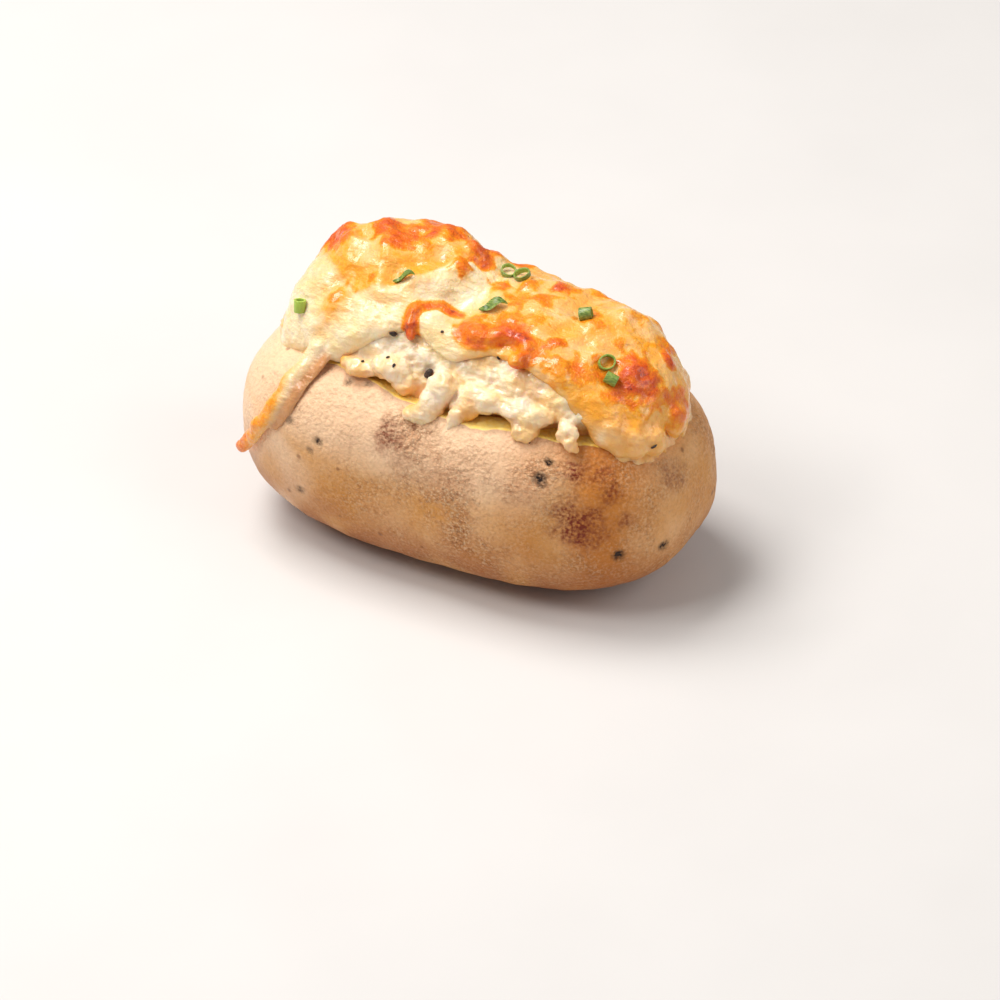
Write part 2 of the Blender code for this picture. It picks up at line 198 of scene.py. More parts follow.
def smooth_step(low: float, high: float, value: np.ndarray) -> np.ndarray:
    """0 at low, 1 at high, and a smooth change between them."""
    share = np.clip((value - low) / (high - low), 0.0, 1.0)
    return share * share * (3.0 - 2.0 * share)


def lumps(points: np.ndarray, size: float, seed: float) -> np.ndarray:
    """Soft lumps of about one size.

    Args:
        points: Places, one a row.
        size: The lumps' size.
        seed: A shift along Z that gives other lumps.

    Returns:
        A value from -1 to 1 for each point.
    """
    scaled = points / size
    scaled[:, 2] += seed
    return np.array([noise.noise(Vector(row)) for row in scaled])


def rough(points: np.ndarray, *layers: Point) -> np.ndarray:
    """Layers of lumps added up, each given as its height, size and seed."""
    return sum(height * lumps(points, size, seed) for height, size, seed in layers)


def cloud(points: np.ndarray, size: float, seed: float, low: float, high: float) -> np.ndarray:
    """Soft patches: 0 where the lumps are below low and 1 where they are above high."""
    return smooth_step(low, high, lumps(points, size, seed))


def folds(points: np.ndarray, size: float, seed: float) -> np.ndarray:
    """Sharp-crested folds of about one size, highest at 1 on a crest."""
    return 1.0 - np.abs(lumps(points, size, seed)) * 2.0


def in_plan(x: np.ndarray, y: np.ndarray) -> np.ndarray:
    """Places in plan as points at height 0."""
    return np.column_stack([x, y, np.zeros(len(x))])


def skin_points(ways: np.ndarray) -> np.ndarray:
    """Points of the uncut potato's skin.

    Args:
        ways: Directions from the potato's middle.

    Returns:
        The point in each direction.
    """
    size = np.abs(ways)
    across = (
        (size[:, 0] / (POTATO_LENGTH / 2)) ** PLAN_POWER
        + (size[:, 1] / (POTATO_WIDTH / 2)) ** PLAN_POWER
    ) ** (SIDE_POWER / PLAN_POWER)
    upright = (size[:, 2] / (POTATO_DEPTH / 2)) ** SIDE_POWER
    reach = (across + upright) ** (-1.0 / SIDE_POWER)
    points = ways * reach[:, None] + (0.0, 0.0, MIDDLE_Z)
    for centre, height, spread in SWELLINGS:
        far = np.linalg.norm(points - centre, axis=1) / spread
        points += ways * (height * np.exp(-far * far))[:, None]
    points[:, 2] = np.maximum(points[:, 2], 0.0)
    return points


def rim_height(x: np.ndarray, y: np.ndarray) -> np.ndarray:
    """The height of the cut across the potato's top."""
    wave = RIM_WAVE * np.sin(RIM_WAVE_ALONG * x + RIM_WAVE_ACROSS * y)
    return RIM_Z + RIM_SLOPE * x + wave


def turned(x: np.ndarray, y: np.ndarray, angle: float) -> tuple[np.ndarray, np.ndarray]:
    """Places in plan, turned about the origin."""
    cos_a, sin_a = math.cos(angle), math.sin(angle)
    return cos_a * x - sin_a * y, sin_a * x + cos_a * y


def heap_share(x: np.ndarray, y: np.ndarray) -> np.ndarray:
    """How far out places lie in the heap's plan.

    Args:
        x: The places along the potato.
        y: The places across it.

    Returns:
        0 in the middle of the heap and 1 at its edge.
    """
    own_x, own_y = turned(x - HEAP_MIDDLE[0], y - HEAP_MIDDLE[1], -HEAP_TURN)
    along = np.abs(own_x) / (HEAP_LENGTH / 2)
    across = np.abs(own_y) / (HEAP_WIDTH / 2)
    return (along**HEAP_POWER + across**HEAP_POWER) ** (1.0 / HEAP_POWER)


def heap_top(x: np.ndarray, y: np.ndarray) -> np.ndarray:
    """The height of the mash's upper surface.

    Args:
        x: Places in plan along the potato.
        y: Places in plan across it.

    Returns:
        The height over each place.
    """
    share = np.minimum(heap_share(x, y), 1.0)
    rise = np.full(len(x), HEAP_HEIGHT + HEAP_SKIRT)
    for (knob_x, knob_y), radius, height in KNOBS:
        far = np.hypot(x - knob_x, y - knob_y) / radius
        rise += height * np.maximum(0.0, 1.0 - far**KNOB_POWER) ** KNOB_SHOULDER
    rise += rough(in_plan(x, y), *HEAP_LUMPS)
    curve = np.maximum(0.0, 1.0 - share**HEAP_FLATNESS) ** HEAP_SHOULDER
    return rim_height(x, y) - HEAP_SKIRT + rise * curve


def heap_plan(ways: np.ndarray, extra: np.ndarray | float = 0.0) -> tuple[np.ndarray, np.ndarray]:
    """Where a sphere's directions come to lie in the heap's plan, a rounded rectangle.

    Args:
        ways: The directions.
        extra: How much wider than the heap the plan is.

    Returns:
        The places along the potato and across it.
    """
    flat = np.maximum(np.hypot(ways[:, 0], ways[:, 1]), NEAR_POLE)
    cos_a = np.abs(ways[:, 0]) / flat
    sin_a = np.abs(ways[:, 1]) / flat
    full = (cos_a**HEAP_POWER + sin_a**HEAP_POWER) ** (-1.0 / HEAP_POWER)
    own_x = ways[:, 0] * full * (HEAP_LENGTH / 2 + extra)
    own_y = ways[:, 1] * full * (HEAP_WIDTH / 2 + extra)
    x, y = turned(own_x, own_y, HEAP_TURN)
    return x + HEAP_MIDDLE[0], y + HEAP_MIDDLE[1]


def mash_points(ways: np.ndarray, extra: np.ndarray | float = 0.0) -> np.ndarray:
    """Points of the heap: its uneven top, or its level underside.

    Args:
        ways: Directions from the heap's middle.
        extra: How far outside the heap the points are.

    Returns:
        The point in each direction.
    """
    x, y = heap_plan(ways, extra)
    top = heap_top(*heap_plan(ways)) + extra
    under = rim_height(x, y) - HEAP_SKIRT - extra + HEAP_BELLY * ways[:, 2]
    return np.column_stack([x, y, np.where(ways[:, 2] > 0.0, top, under)])


def cheese_reach(ways: np.ndarray) -> np.ndarray:
    """How far out the cheese goes, with its lobes and its bare stretch at the front.

    Args:
        ways: Directions from the heap's middle.

    Returns:
        The share of the heap's plan that it covers in each direction.
    """
    angle = np.arctan2(ways[:, 1], ways[:, 0])
    lobes = sum(height * np.sin(waves * angle + shift) for height, waves, shift in CHEESE_LOBES)
    along = np.cos(angle)
    bare = smooth_step(BARE_FROM - BARE_SOFTNESS, BARE_FROM + BARE_SOFTNESS, along)
    bare *= 1.0 - smooth_step(BARE_TO - BARE_SOFTNESS, BARE_TO + BARE_SOFTNESS, along)
    bare *= smooth_step(*BARE_SIDE, -np.sin(angle))
    wave = 1.0 + BARE_WAVE * np.sin(BARE_WAVES * angle)
    return CHEESE_REACH + lobes - BARE_FRONT * bare * wave


def rises(points: np.ndarray, spots: Sequence[PlanPatch]) -> np.ndarray:
    """How far rounded bumps lift each point.

    Args:
        points: The points.
        spots: Each bump's centre in plan, radius and height.

    Returns:
        The lift of each point.
    """
    total = np.zeros(len(points))
    for (x, y), radius, height in spots:
        far = np.hypot(points[:, 0] - x, points[:, 1] - y) / radius
        total += height * (1.0 - smooth_step(*BUMP_FADE, far))
    return total


def cheese_points(ways: np.ndarray) -> np.ndarray:
    """Points of the cheese's upper surface, and of a lower one that is sunk in the mash.

    Args:
        ways: Directions from the heap's middle.

    Returns:
        The point in each direction.
    """
    flat = ways[:, :2] * cheese_reach(ways)[:, None]
    upright = np.sqrt(np.maximum(0.0, 1.0 - (flat**2).sum(axis=1)))
    on_mash = np.column_stack([flat, np.maximum(upright, TINY)])
    rise = np.abs(ways[:, 2])
    along = on_mash[:, 0] * HEAP_LENGTH / 2
    feathered = CHEESE_EDGE + CHEESE_FEATHER * smooth_step(*FEATHERED_LEFT, along)
    right = smooth_step(*FEATHERED_FROM, along) * smooth_step(*FEATHERED_TO, along)
    thickness = CHEESE_THICKNESS * rise ** (feathered + CHEESE_FEATHER * right)
    extra = np.where(ways[:, 2] < 0.0, -CHEESE_SINK * rise**UNDERSIDE_CURVE, thickness)
    points = mash_points(on_mash, extra)
    points[:, 2] += np.where(ways[:, 2] > 0.0, rises(points, CHEESE_BUMPS), 0.0)
    return points


def bulge(point: Vector) -> Vector:
    """The way that the potato's side faces near a point.

    Args:
        point: The point.

    Returns:
        The way out of the potato there.
    """
    along = point.x / (POTATO_LENGTH / 2) ** 2
    across = point.y / (POTATO_WIDTH / 2) ** 2
    return Vector((along, across, (point.z - MIDDLE_Z) / (POTATO_DEPTH / 2) ** 2)).normalized()


def straight_up(_point: Vector) -> Vector:
    """The way that a ridge on top of the heap faces."""
    return UP.copy()


def on_path(points: Sequence[Point], share: float) -> tuple[Vector, Vector]:
    """A point and its heading on the smooth curve through points.

    Args:
        points: The points.
        share: How far along, from 0 to 1.

    Returns:
        The point, and the way the curve runs there.
    """
    spans = len(points) - 1
    span = min(int(share * spans), spans - 1)
    step = share * spans - span
    before = Vector(points[max(span - 1, 0)])
    start = Vector(points[span])
    end = Vector(points[span + 1])
    after = Vector(points[min(span + 2, spans)])
    lead_in = (end - before) / 2
    lead_out = (after - start) / 2
    place = (
        start * (2 * step**3 - 3 * step**2 + 1)
        + lead_in * (step**3 - 2 * step**2 + step)
        + end * (3 * step**2 - 2 * step**3)
        + lead_out * (step**3 - step**2)
    )
    heading = (
        (end - start) * (6 * step - 6 * step**2)
        + lead_in * (3 * step**2 - 4 * step + 1)
        + lead_out * (3 * step**2 - 2 * step)
    )
    return place, heading.normalized()


# Mesh tools.


def each_point(mesh: bpy.types.Mesh, what: str) -> np.ndarray:
    """What a mesh keeps for each of its points.

    Args:
        mesh: The mesh.
        what: "co" for places, or "normal" for the way that the surface faces.

    Returns:
        One row for each point.
    """
    flat = np.zeros(len(mesh.vertices) * 3)
    mesh.vertices.foreach_get(what, flat)
    return flat.reshape(-1, 3)


def coordinates(mesh: bpy.types.Mesh) -> np.ndarray:
    """A mesh's points in millimetres, one a row."""
    return each_point(mesh, "co") / MM


def facings(mesh: bpy.types.Mesh) -> np.ndarray:
    """The way that the surface faces at each of a mesh's points."""
    return each_point(mesh, "normal")


def put_coordinates(mesh: bpy.types.Mesh, points: np.ndarray) -> None:
    """Moves a mesh's points to places in millimetres."""
    mesh.vertices.foreach_set("co", (points * MM).astype(np.float32).ravel())
    mesh.update()


def mark(mesh: bpy.types.Mesh, **marks: np.ndarray) -> None:
    """Keeps values for each point of a mesh, for its material to read.

    Args:
        mesh: The mesh.
        **marks: Each mark's values, one for each point.
    """
    for name, values in marks.items():
        layer = mesh.attributes.new(name, "FLOAT", "POINT")
        layer.data.foreach_set("value", values.astype(np.float32))


def move_all(tools: Shell, place: Placing) -> Shell:
    """Moves every point of a sphere to where a rule puts its direction.

    Args:
        tools: The sphere.
        place: The rule.

    Returns:
        The same sphere, shaped.
    """
    ways = np.array([vert.co.normalized() for vert in tools.verts])
    for vert, spot in zip(tools.verts, place(ways)):
        vert.co = spot
    return tools


def ball(place: Placing, fineness: int) -> Shell:
    """An icosphere of even triangles, shaped by place().

    Args:
        place: The rule that shapes it.
        fineness: How often its faces are divided, plus one.

    Returns:
        The closed shell.
    """
    tools = bmesh.new()
    bmesh.ops.create_icosphere(tools, subdivisions=fineness, radius=1.0)
    return move_all(tools, place)


def ringed_ball(place: Placing, around: int, rows: int) -> Shell:
    """A sphere of meridians and rings, shaped by place().

    Args:
        place: The rule that shapes it.
        around: How many faces go round it.
        rows: How many rows of them there are.

    Returns:
        The closed shell.
    """
    tools = bmesh.new()
    bmesh.ops.create_uvsphere(tools, u_segments=around, v_segments=rows, radius=1.0)
    return move_all(tools, place)


def egg(centre: Point, half_sizes: Point, fineness: int = 3) -> Shell:
    """A small ellipsoid."""
    return ball(lambda ways: ways * half_sizes + centre, fineness)


def ridge(path: Sequence[Point], half: Spot, facing: Callable[[Vector], Vector]) -> Shell:
    """A flattened round strand along a path, with tapered ends.

    Args:
        path: The points that it follows.
        half: Half its width, across the path, and half its thickness.
        facing: Gives the way that the strand's top faces at a point.

    Returns:
        The closed strand.
    """

    def spot(way: np.ndarray) -> Vector:
        """A direction's point on the strand.

        Args:
            way: The direction.

        Returns:
            The point.
        """
        share = 0.5 + math.asin(max(-1.0, min(1.0, way[2]))) / math.pi
        middle, heading = on_path(path, min(max(share, 0.0), 1.0))
        side = facing(middle).cross(heading).normalized()
        flat = math.hypot(way[0], way[1])
        full = min(1.0, flat**RIDGE_TIP) / max(flat, TINY)
        outward = heading.cross(side) * way[1] * full * half[1]
        return middle + side * way[0] * full * half[0] + outward

    return ringed_ball(
        lambda ways: np.array([spot(way) for way in ways]), RIDGE_SIDES, RIDGE_ROWS * len(path)
    )


def stand_on(tools: Shell, place: Vector, facing: Vector, lying: Matrix) -> None:
    """Turns a shell that is made about the origin to a surface, and puts it there.

    Args:
        tools: The shell.
        place: Where its middle goes.
        facing: The way that the surface faces.
        lying: How the shell is turned first.
    """
    upright = UP.rotation_difference(facing).to_matrix().to_4x4()
    stand = Matrix.Translation(place) @ upright @ lying
    bmesh.ops.transform(tools, matrix=stand, verts=tools.verts)


def in_scene(name: str, data: bpy.types.ID) -> Piece:
    """Puts a mesh, lamp or camera into the scene.

    Args:
        name: The object's name.
        data: What it shows.

    Returns:
        The object.
    """
    thing = bpy.data.objects.new(name, data)
    bpy.context.scene.collection.objects.link(thing)
    return thing


def as_object(name: str, tools: Shell) -> Piece:
    """Turns a shell in millimetres into an object of the scene, in metres.

    Args:
        name: The object's name.
        tools: The shell, which is freed.

    Returns:
        The object.
    """
    bmesh.ops.scale(tools, vec=(MM, MM, MM), verts=tools.verts)
    mesh = bpy.data.meshes.new(name)
    tools.to_mesh(mesh)
    tools.free()
    mesh.shade_smooth()
    return in_scene(name, mesh)


def joined(parts: Sequence[Shell]) -> Shell:
    """Several shells as one, which may overlap.

    Args:
        parts: The shells, which are freed.

    Returns:
        One shell with all of them.
    """
    whole = bmesh.new()
    for part in parts:
        mesh = bpy.data.meshes.new("part")
        part.to_mesh(mesh)
        part.free()
        whole.from_mesh(mesh)
        bpy.data.meshes.remove(mesh)
    return whole


def melt_together(name: str, parts: Sequence[Shell], voxel: float, rounds: int) -> Piece:
    """Turns overlapping shells into one closed skin with soft joints.

    Args:
        name: The new object's name.
        parts: Closed shells, in millimetres.
        voxel: The new mesh's spacing in millimetres.
        rounds: How many times the joints are smoothed.

    Returns:
        The object, in metres, with its modifiers applied.
    """
    thing = as_object(name, joined(parts))
    remesh = thing.modifiers.new("melt", "REMESH")
    remesh.mode = "VOXEL"
    remesh.voxel_size = voxel * MM
    graph = bpy.context.evaluated_depsgraph_get()
    mesh = bpy.data.meshes.new_from_object(thing.evaluated_get(graph))
    thing.modifiers.clear()
    thing.data = mesh
    tools = bmesh.new()
    tools.from_mesh(mesh)
    every_way = {"use_axis_x": True, "use_axis_y": True, "use_axis_z": True}
    for _round in range(rounds):
        bmesh.ops.smooth_vert(tools, verts=tools.verts, factor=0.5, **every_way)
    tools.to_mesh(mesh)
    tools.free()
    mesh.shade_smooth()
    return thing


def surface_of(thing: Piece) -> BVHTree:
    """An object's surface in millimetres, to be asked for its height.

    Args:
        thing: The object.

    Returns:
        Its surface.
    """
    tools = bmesh.new()
    tools.from_mesh(thing.data)
    bmesh.ops.scale(tools, vec=(1 / MM, 1 / MM, 1 / MM), verts=tools.verts)
    surface = BVHTree.FromBMesh(tools)
    tools.free()
    return surface


def covered(
    points: np.ndarray, patches: Sequence[Patch | PlanPatch], uneven: np.ndarray, fade: Spot
) -> np.ndarray:
    """How strongly patches cover each point.

    Args:
        points: The points.
        patches: Each patch's centre, in space or in plan, its radius and its strength.
        uneven: What is added to each point's distance, for ragged edges.
        fade: Where a patch begins and ends to fade, in its own radius.

    Returns:
        A value from 0 to 1 for each point.
    """
    clear = np.ones(len(points))
    for centre, radius, strength in patches:
        far = np.linalg.norm(points[:, : len(centre)] - centre, axis=1) / radius + uneven
        clear *= 1.0 - strength * (1.0 - smooth_step(*fade, far))
    return 1.0 - clear


def near_spots(points: np.ndarray, spots: Sequence[PlanPatch], ragged: float) -> np.ndarray:
    """How strongly patches given in plan, with ragged edges, cover each point."""
    return covered(points, spots, ragged * rough(points, *PLAN_RAGGED), PLAN_FADE)


def near_places(points: np.ndarray, places: Sequence[Patch], ragged: float) -> np.ndarray:
    """How strongly patches given in space, with ragged edges, cover each point."""
    return covered(points, places, ragged * rough(points, *SPACE_RAGGED), SPACE_FADE)


# Material tools.


class Nodes:
    """Short ways to add and join the nodes of one tree."""

    def __init__(self, tree: bpy.types.NodeTree) -> None:
        """Starts from a material's or a group's node tree."""
        self.tree = tree

    def fill(self, node: bpy.types.Node, values: dict) -> bpy.types.Node:
        """Sets a node's sockets.

        Args:
            node: The node.
            values: What its sockets take: a number, a colour, or another node's socket.

        Returns:
            The same node.
        """
        for key, value in values.items():
            socket = node.inputs[key]
            if isinstance(value, bpy.types.NodeSocket):
                self.tree.links.new(value, socket)
            elif isinstance(value, tuple) and len(value) == 3 and socket.type == "RGBA":
                socket.default_value = (*value, 1.0)
            else:
                socket.default_value = value
        return node

    def add(self, kind: str, values: dict, **settings: object) -> bpy.types.Node:
        """Adds a node.

        Args:
            kind: The node's type name.
            values: What its sockets take.
            **settings: The node's own settings.

        Returns:
            The node.
        """
        node = self.tree.nodes.new(kind)
        for key, value in settings.items():
            setattr(node, key, value)
        return self.fill(node, values)

    def maths(self, operation: str, *terms: object, clamp: bool = False) -> Socket:
        """The result of one sum on values or sockets, held between 0 and 1 if clamp is set."""
        values = dict(enumerate(terms))
        return self.add("ShaderNodeMath", values, operation=operation, use_clamp=clamp).outputs[0]

    def product(self, first: object, second: object) -> Socket:
        """Two values multiplied."""
        return self.maths("MULTIPLY", first, second)

    def held_product(self, first: object, second: object) -> Socket:
        """Two values multiplied, held between 0 and 1."""
        return self.maths("MULTIPLY", first, second, clamp=True)

    def with_share(self, first: object, second: object, third: object) -> Socket:
        """Two values multiplied, and a third added."""
        return self.maths("MULTIPLY_ADD", first, second, third)

    def blend(self, share: object, first: object, second: object) -> Socket:
        """Goes from the first colour to the second by a share."""
        values = {0: share, 6: first, 7: second}
        return self.add("ShaderNodeMix", values, data_type="RGBA").outputs[2]

    def span(
        self, value: object, low: object, high: object, start: float = 0.0, end: float = 1.0
    ) -> Socket:
        """Moves a value's range from low and high to start and end, and holds it there."""
        values = {0: value, 1: low, 2: high, 3: start, 4: end}
        return self.add("ShaderNodeMapRange", values, clamp=True).outputs[0]

    def ramp(self, value: object, stops: Sequence[tuple[float, Colour]]) -> Socket:
        """A colour that follows a value through several stops.

        Args:
            value: The value.
            stops: Each stop's value and colour.

        Returns:
            The colour.
        """
        node = self.add("ShaderNodeValToRGB", {0: value})
        band = node.color_ramp
        while len(band.elements) < len(stops):
            band.elements.new(0.5)
        for element, (position, colour) in zip(band.elements, stops):
            element.position = position
            element.color = (*colour, 1.0)
        return node.outputs[0]

    def value_of(self, name: str) -> Socket:
        """What mark() kept on the mesh under a name."""
        return self.add("ShaderNodeAttribute", {}, attribute_name=name).outputs["Fac"]

    def scaled(self, place: object, scale: float) -> Socket:
        """A place or a shift multiplied by a number."""
        values = {0: place, "Scale": scale}
        return self.add("ShaderNodeVectorMath", values, operation="SCALE").outputs[0]

    def millimetres(self) -> Socket:
        """The surface's place on the object, in millimetres."""
        return self.scaled(self.add("ShaderNodeTexCoord", {}).outputs["Object"], 1 / MM)

    def stretched(self, place: object, turn: Point, sizes: Point) -> Socket:
        """A place turned and scaled, for a pattern that runs one way."""
        values = {"Vector": place, "Rotation": turn, "Scale": sizes}
        return self.add("ShaderNodeMapping", values).outputs[0]

    def noise(self, place: object, scale: object, detail: float) -> bpy.types.Node:
        """Clouds of noise."""
        return self.add("ShaderNodeTexNoise", {"Vector": place, "Scale": scale, "Detail": detail})

    def shaken(self, place: object, scale: object, amount: float) -> Socket:
        """A place moved about by noise, for patterns with uneven edges."""
        shift = self.scaled(self.noise(place, scale, 2.0).outputs[1], amount)
        return self.add("ShaderNodeVectorMath", {0: place, 1: shift}, operation="ADD").outputs[0]

    def effect(self, name: str, **values: object) -> Socket:
        """Places one of the shared effects.

        Args:
            name: The effect's name.
            **values: What its inputs take.

        Returns:
            Its mask.
        """
        node = self.tree.nodes.new("ShaderNodeGroup")
        node.node_tree = bpy.data.node_groups[name]
        return self.fill(node, values).outputs["Mask"]

    def grain(self, place: object, size: float, low: float = 0.35, high: float = 0.65) -> Socket:
        """Uneven patches of about one size in millimetres, from 0 to 1."""
        return self.effect("grain", Place=place, Size=size, Low=low, High=high)

    def speckle(self, place: object, size: float, share: float) -> Socket:
        """Scattered ragged specks, 1 on a speck."""
        return self.effect("speckle", Place=place, Size=size, Share=share)

    def bumped(self, height: object, strength: float, distance: float) -> Socket:
        """The surface's facing over small bumps, whose distance is in metres."""
        values = {"Height": height, "Strength": strength, "Distance": distance}
        return self.add("ShaderNodeBump", values).outputs[0]


class Effects:
    """The effects that more than one material uses, each built once as a node group."""

    @staticmethod
    def start(name: str, numbers: Sequence[str]) -> tuple[Nodes, bpy.types.Node, dict]:
        """Makes an empty group.

        Args:
            name: The group's name.
            numbers: The names of its number inputs, after its Place input.

        Returns:
            The group's nodes, its output node and its inputs by name.
        """
        tree = bpy.data.node_groups.new(name, "ShaderNodeTree")
        tree.interface.new_socket("Place", in_out="INPUT", socket_type="NodeSocketVector")
        for number in numbers:
            tree.interface.new_socket(number, in_out="INPUT", socket_type="NodeSocketFloat")
        tree.interface.new_socket("Mask", in_out="OUTPUT", socket_type="NodeSocketFloat")
        nodes = Nodes(tree)
        entry = nodes.add("NodeGroupInput", {})
        inputs = {socket.name: socket for socket in entry.outputs if socket.name}
        return nodes, nodes.add("NodeGroupOutput", {}), inputs

    @classmethod
    def build(cls) -> None:
        """Builds the groups."""
        nodes, end, inputs = cls.start("grain", ("Size", "Low", "High"))
        scale = nodes.maths("DIVIDE", 1.0, inputs["Size"])
        clouds = nodes.noise(inputs["Place"], scale, 3.0).outputs[0]
        nodes.fill(end, {0: nodes.span(clouds, inputs["Low"], inputs["High"])})

        nodes, end, inputs = cls.start("speckle", ("Size", "Share"))
        scale = nodes.maths("DIVIDE", 1.0, inputs["Size"])
        uneven = nodes.shaken(inputs["Place"], scale, 0.8)
        cells = nodes.add("ShaderNodeTexVoronoi", {"Vector": uneven, "Scale": scale})
        chosen = nodes.add("ShaderNodeSeparateColor", {0: cells.outputs["Color"]})
        radius = nodes.maths("SUBTRACT", inputs["Share"], chosen.outputs[0])
        inside = nodes.maths("SUBTRACT", radius, cells.outputs["Distance"])
        nodes.fill(end, {0: nodes.span(inside, -0.06, 0.06)})


def see_into(weight: float, spread: Point, depth: float) -> dict[str, object]:
    """The shader's numbers for light that goes a little way in."""
    return {"Subsurface Weight": weight, "Subsurface Radius": spread, "Subsurface Scale": depth}


def new_finish(name: str, settings: dict) -> tuple[Finish, Nodes, bpy.types.Node]:
    """Starts a material.

    Args:
        name: Its name.
        settings: Plain numbers and colours of the shader's own sockets.

    Returns:
        The material, its nodes and its shader.
    """
    finish = bpy.data.materials.new(name)
    finish.use_nodes = True
    nodes = Nodes(finish.node_tree)
    shader = finish.node_tree.nodes["Principled BSDF"]
    return finish, nodes, nodes.fill(shader, settings)


@dataclass(frozen=True)
class SkinFinish:
    """Baked potato skin, netted in places, with yellow flesh at the cut."""

    tan: Colour = paint(242, 192, 136)
    ochre: Colour = paint(216, 152, 74)
    # Pink-tan: the skin's own pinkish tone on the left, and painted light over the upper middle.
    pink: Colour = paint(250, 214, 178)
    # Deeper orange-ochre: partly the skin's own tone on the right side, partly painted shade there.
    shade: Colour = paint(200, 118, 22)
    # Darker brown: painted shade towards the bottom of the potato.
    under: Colour = paint(166, 92, 38)
    netted: Colour = paint(206, 138, 88)
    net_light: Colour = paint(255, 224, 182)
    net_dark: Colour = paint(140, 74, 34)
    stain: Colour = paint(122, 40, 8)
    speck: Colour = paint(112, 54, 26)
    pit: Colour = paint(40, 22, 14)
    flesh: Colour = paint(250, 212, 92)
    flesh_pale: Colour = paint(252, 228, 140)
    roughness: float = 0.6

    def build(self) -> Finish:
        """Makes the material.

        Returns:
            The material, which reads the potato's marks.
        """
        settings = see_into(0.08, (1.0, 0.5, 0.25), 0.001)
        settings |= {"Roughness": self.roughness, "Specular IOR Level": 0.28}
        finish, nodes, shader = new_finish("potato_skin", settings)
        place = nodes.millimetres()
        colour = nodes.blend(nodes.grain(place, 16.0, 0.35, 0.65), self.tan, self.ochre)
        # Pink-tan with painted light on top, orange-ochre with painted shade on the right, and
        # painted shade towards the bottom.
        for name, tone in (("pink", self.pink), ("shade", self.shade), ("low", self.under)):
            colour = nodes.blend(nodes.value_of(name), colour, tone)
        net = nodes.value_of("net")
        colour = nodes.blend(nodes.product(net, 0.6), colour, self.netted)
        cells = nodes.add(
            "ShaderNodeTexVoronoi",
            {"Vector": nodes.shaken(place, 1.1, 1.6), "Scale": 1.1},
            feature="DISTANCE_TO_EDGE",
        )
        crack = nodes.span(cells.outputs["Distance"], 0.02, 0.16, 1.0, 0.0)
        middling = nodes.grain(place, 4.5, 0.4, 0.66)
        net_here = nodes.held_product(net, nodes.span(middling, 0.0, 1.0, 0.35, 1.0))
        flecks = nodes.grain(place, 0.65, 0.48, 0.62)
        flakes = nodes.product(nodes.with_share(net_here, 0.9, 0.06), flecks)
        colour = nodes.blend(nodes.product(flakes, 0.85), colour, self.net_light)
        streaks = nodes.stretched(place, (0.3, 0.1, 0.6), (1.0, 1.5, 1.5))
        gaps = nodes.grain(streaks, 1.1, 0.5, 0.66)
        gaps_here = nodes.product(gaps, nodes.with_share(net_here, 0.8, 0.05))
        colour = nodes.blend(gaps_here, colour, self.net_dark)
        cracks_here = nodes.product(net_here, crack)
        colour = nodes.blend(nodes.product(cracks_here, 0.35), colour, self.net_dark)
        mottle = nodes.grain(place, 0.9, 0.5, 0.72)
        colour = nodes.blend(nodes.product(mottle, 0.14), colour, self.speck)
        stain_grain = nodes.span(nodes.grain(place, 0.8, 0.36, 0.62), 0.0, 1.0, 0.25, 1.3)
        stain_here = nodes.held_product(nodes.value_of("stain"), stain_grain)
        colour = nodes.blend(stain_here, colour, self.stain)
        specks = nodes.speckle(place, 3.4, 0.24)
        colour = nodes.blend(nodes.product(specks, 0.55), colour, self.speck)
        pit_grain = nodes.span(nodes.grain(place, 0.7, 0.35, 0.6), 0.0, 1.0, 0.5, 1.5)
        pit_here = nodes.held_product(nodes.value_of("pit"), pit_grain)
        colour = nodes.blend(pit_here, colour, self.pit)
        inside = nodes.value_of("inside")
        outer_edge = nodes.span(inside, -0.7, 0.1)
        edge = nodes.product(outer_edge, nodes.span(inside, 0.15, 0.45, 1.0, 0.0))
        colour = nodes.blend(nodes.product(edge, 0.3), colour, self.net_dark)
        flesh = nodes.blend(nodes.grain(place, 1.6), self.flesh, self.flesh_pale)
        colour = nodes.blend(nodes.span(inside, 0.15, 0.45), colour, flesh)
        height = nodes.product(cracks_here, -0.4)
        fine = nodes.grain(place, 0.85, 0.36, 0.64)
        height = nodes.with_share(fine, nodes.span(net_here, 0.0, 1.0, 0.2, 1.4), height)
        coarse = nodes.grain(place, 1.1, 0.3, 0.7)
        height = nodes.with_share(coarse, nodes.span(net, 0.0, 1.0, 0.3, 1.2), height)
        height = nodes.with_share(pit_here, -1.5, height)
        surface = {
            "Base Color": colour,
            "Roughness": nodes.span(net_here, 0.0, 1.0, 0.46, 0.75),
            "Normal": nodes.bumped(height, 0.85, 0.0004),
        }
        nodes.fill(shader, surface)
        return finish


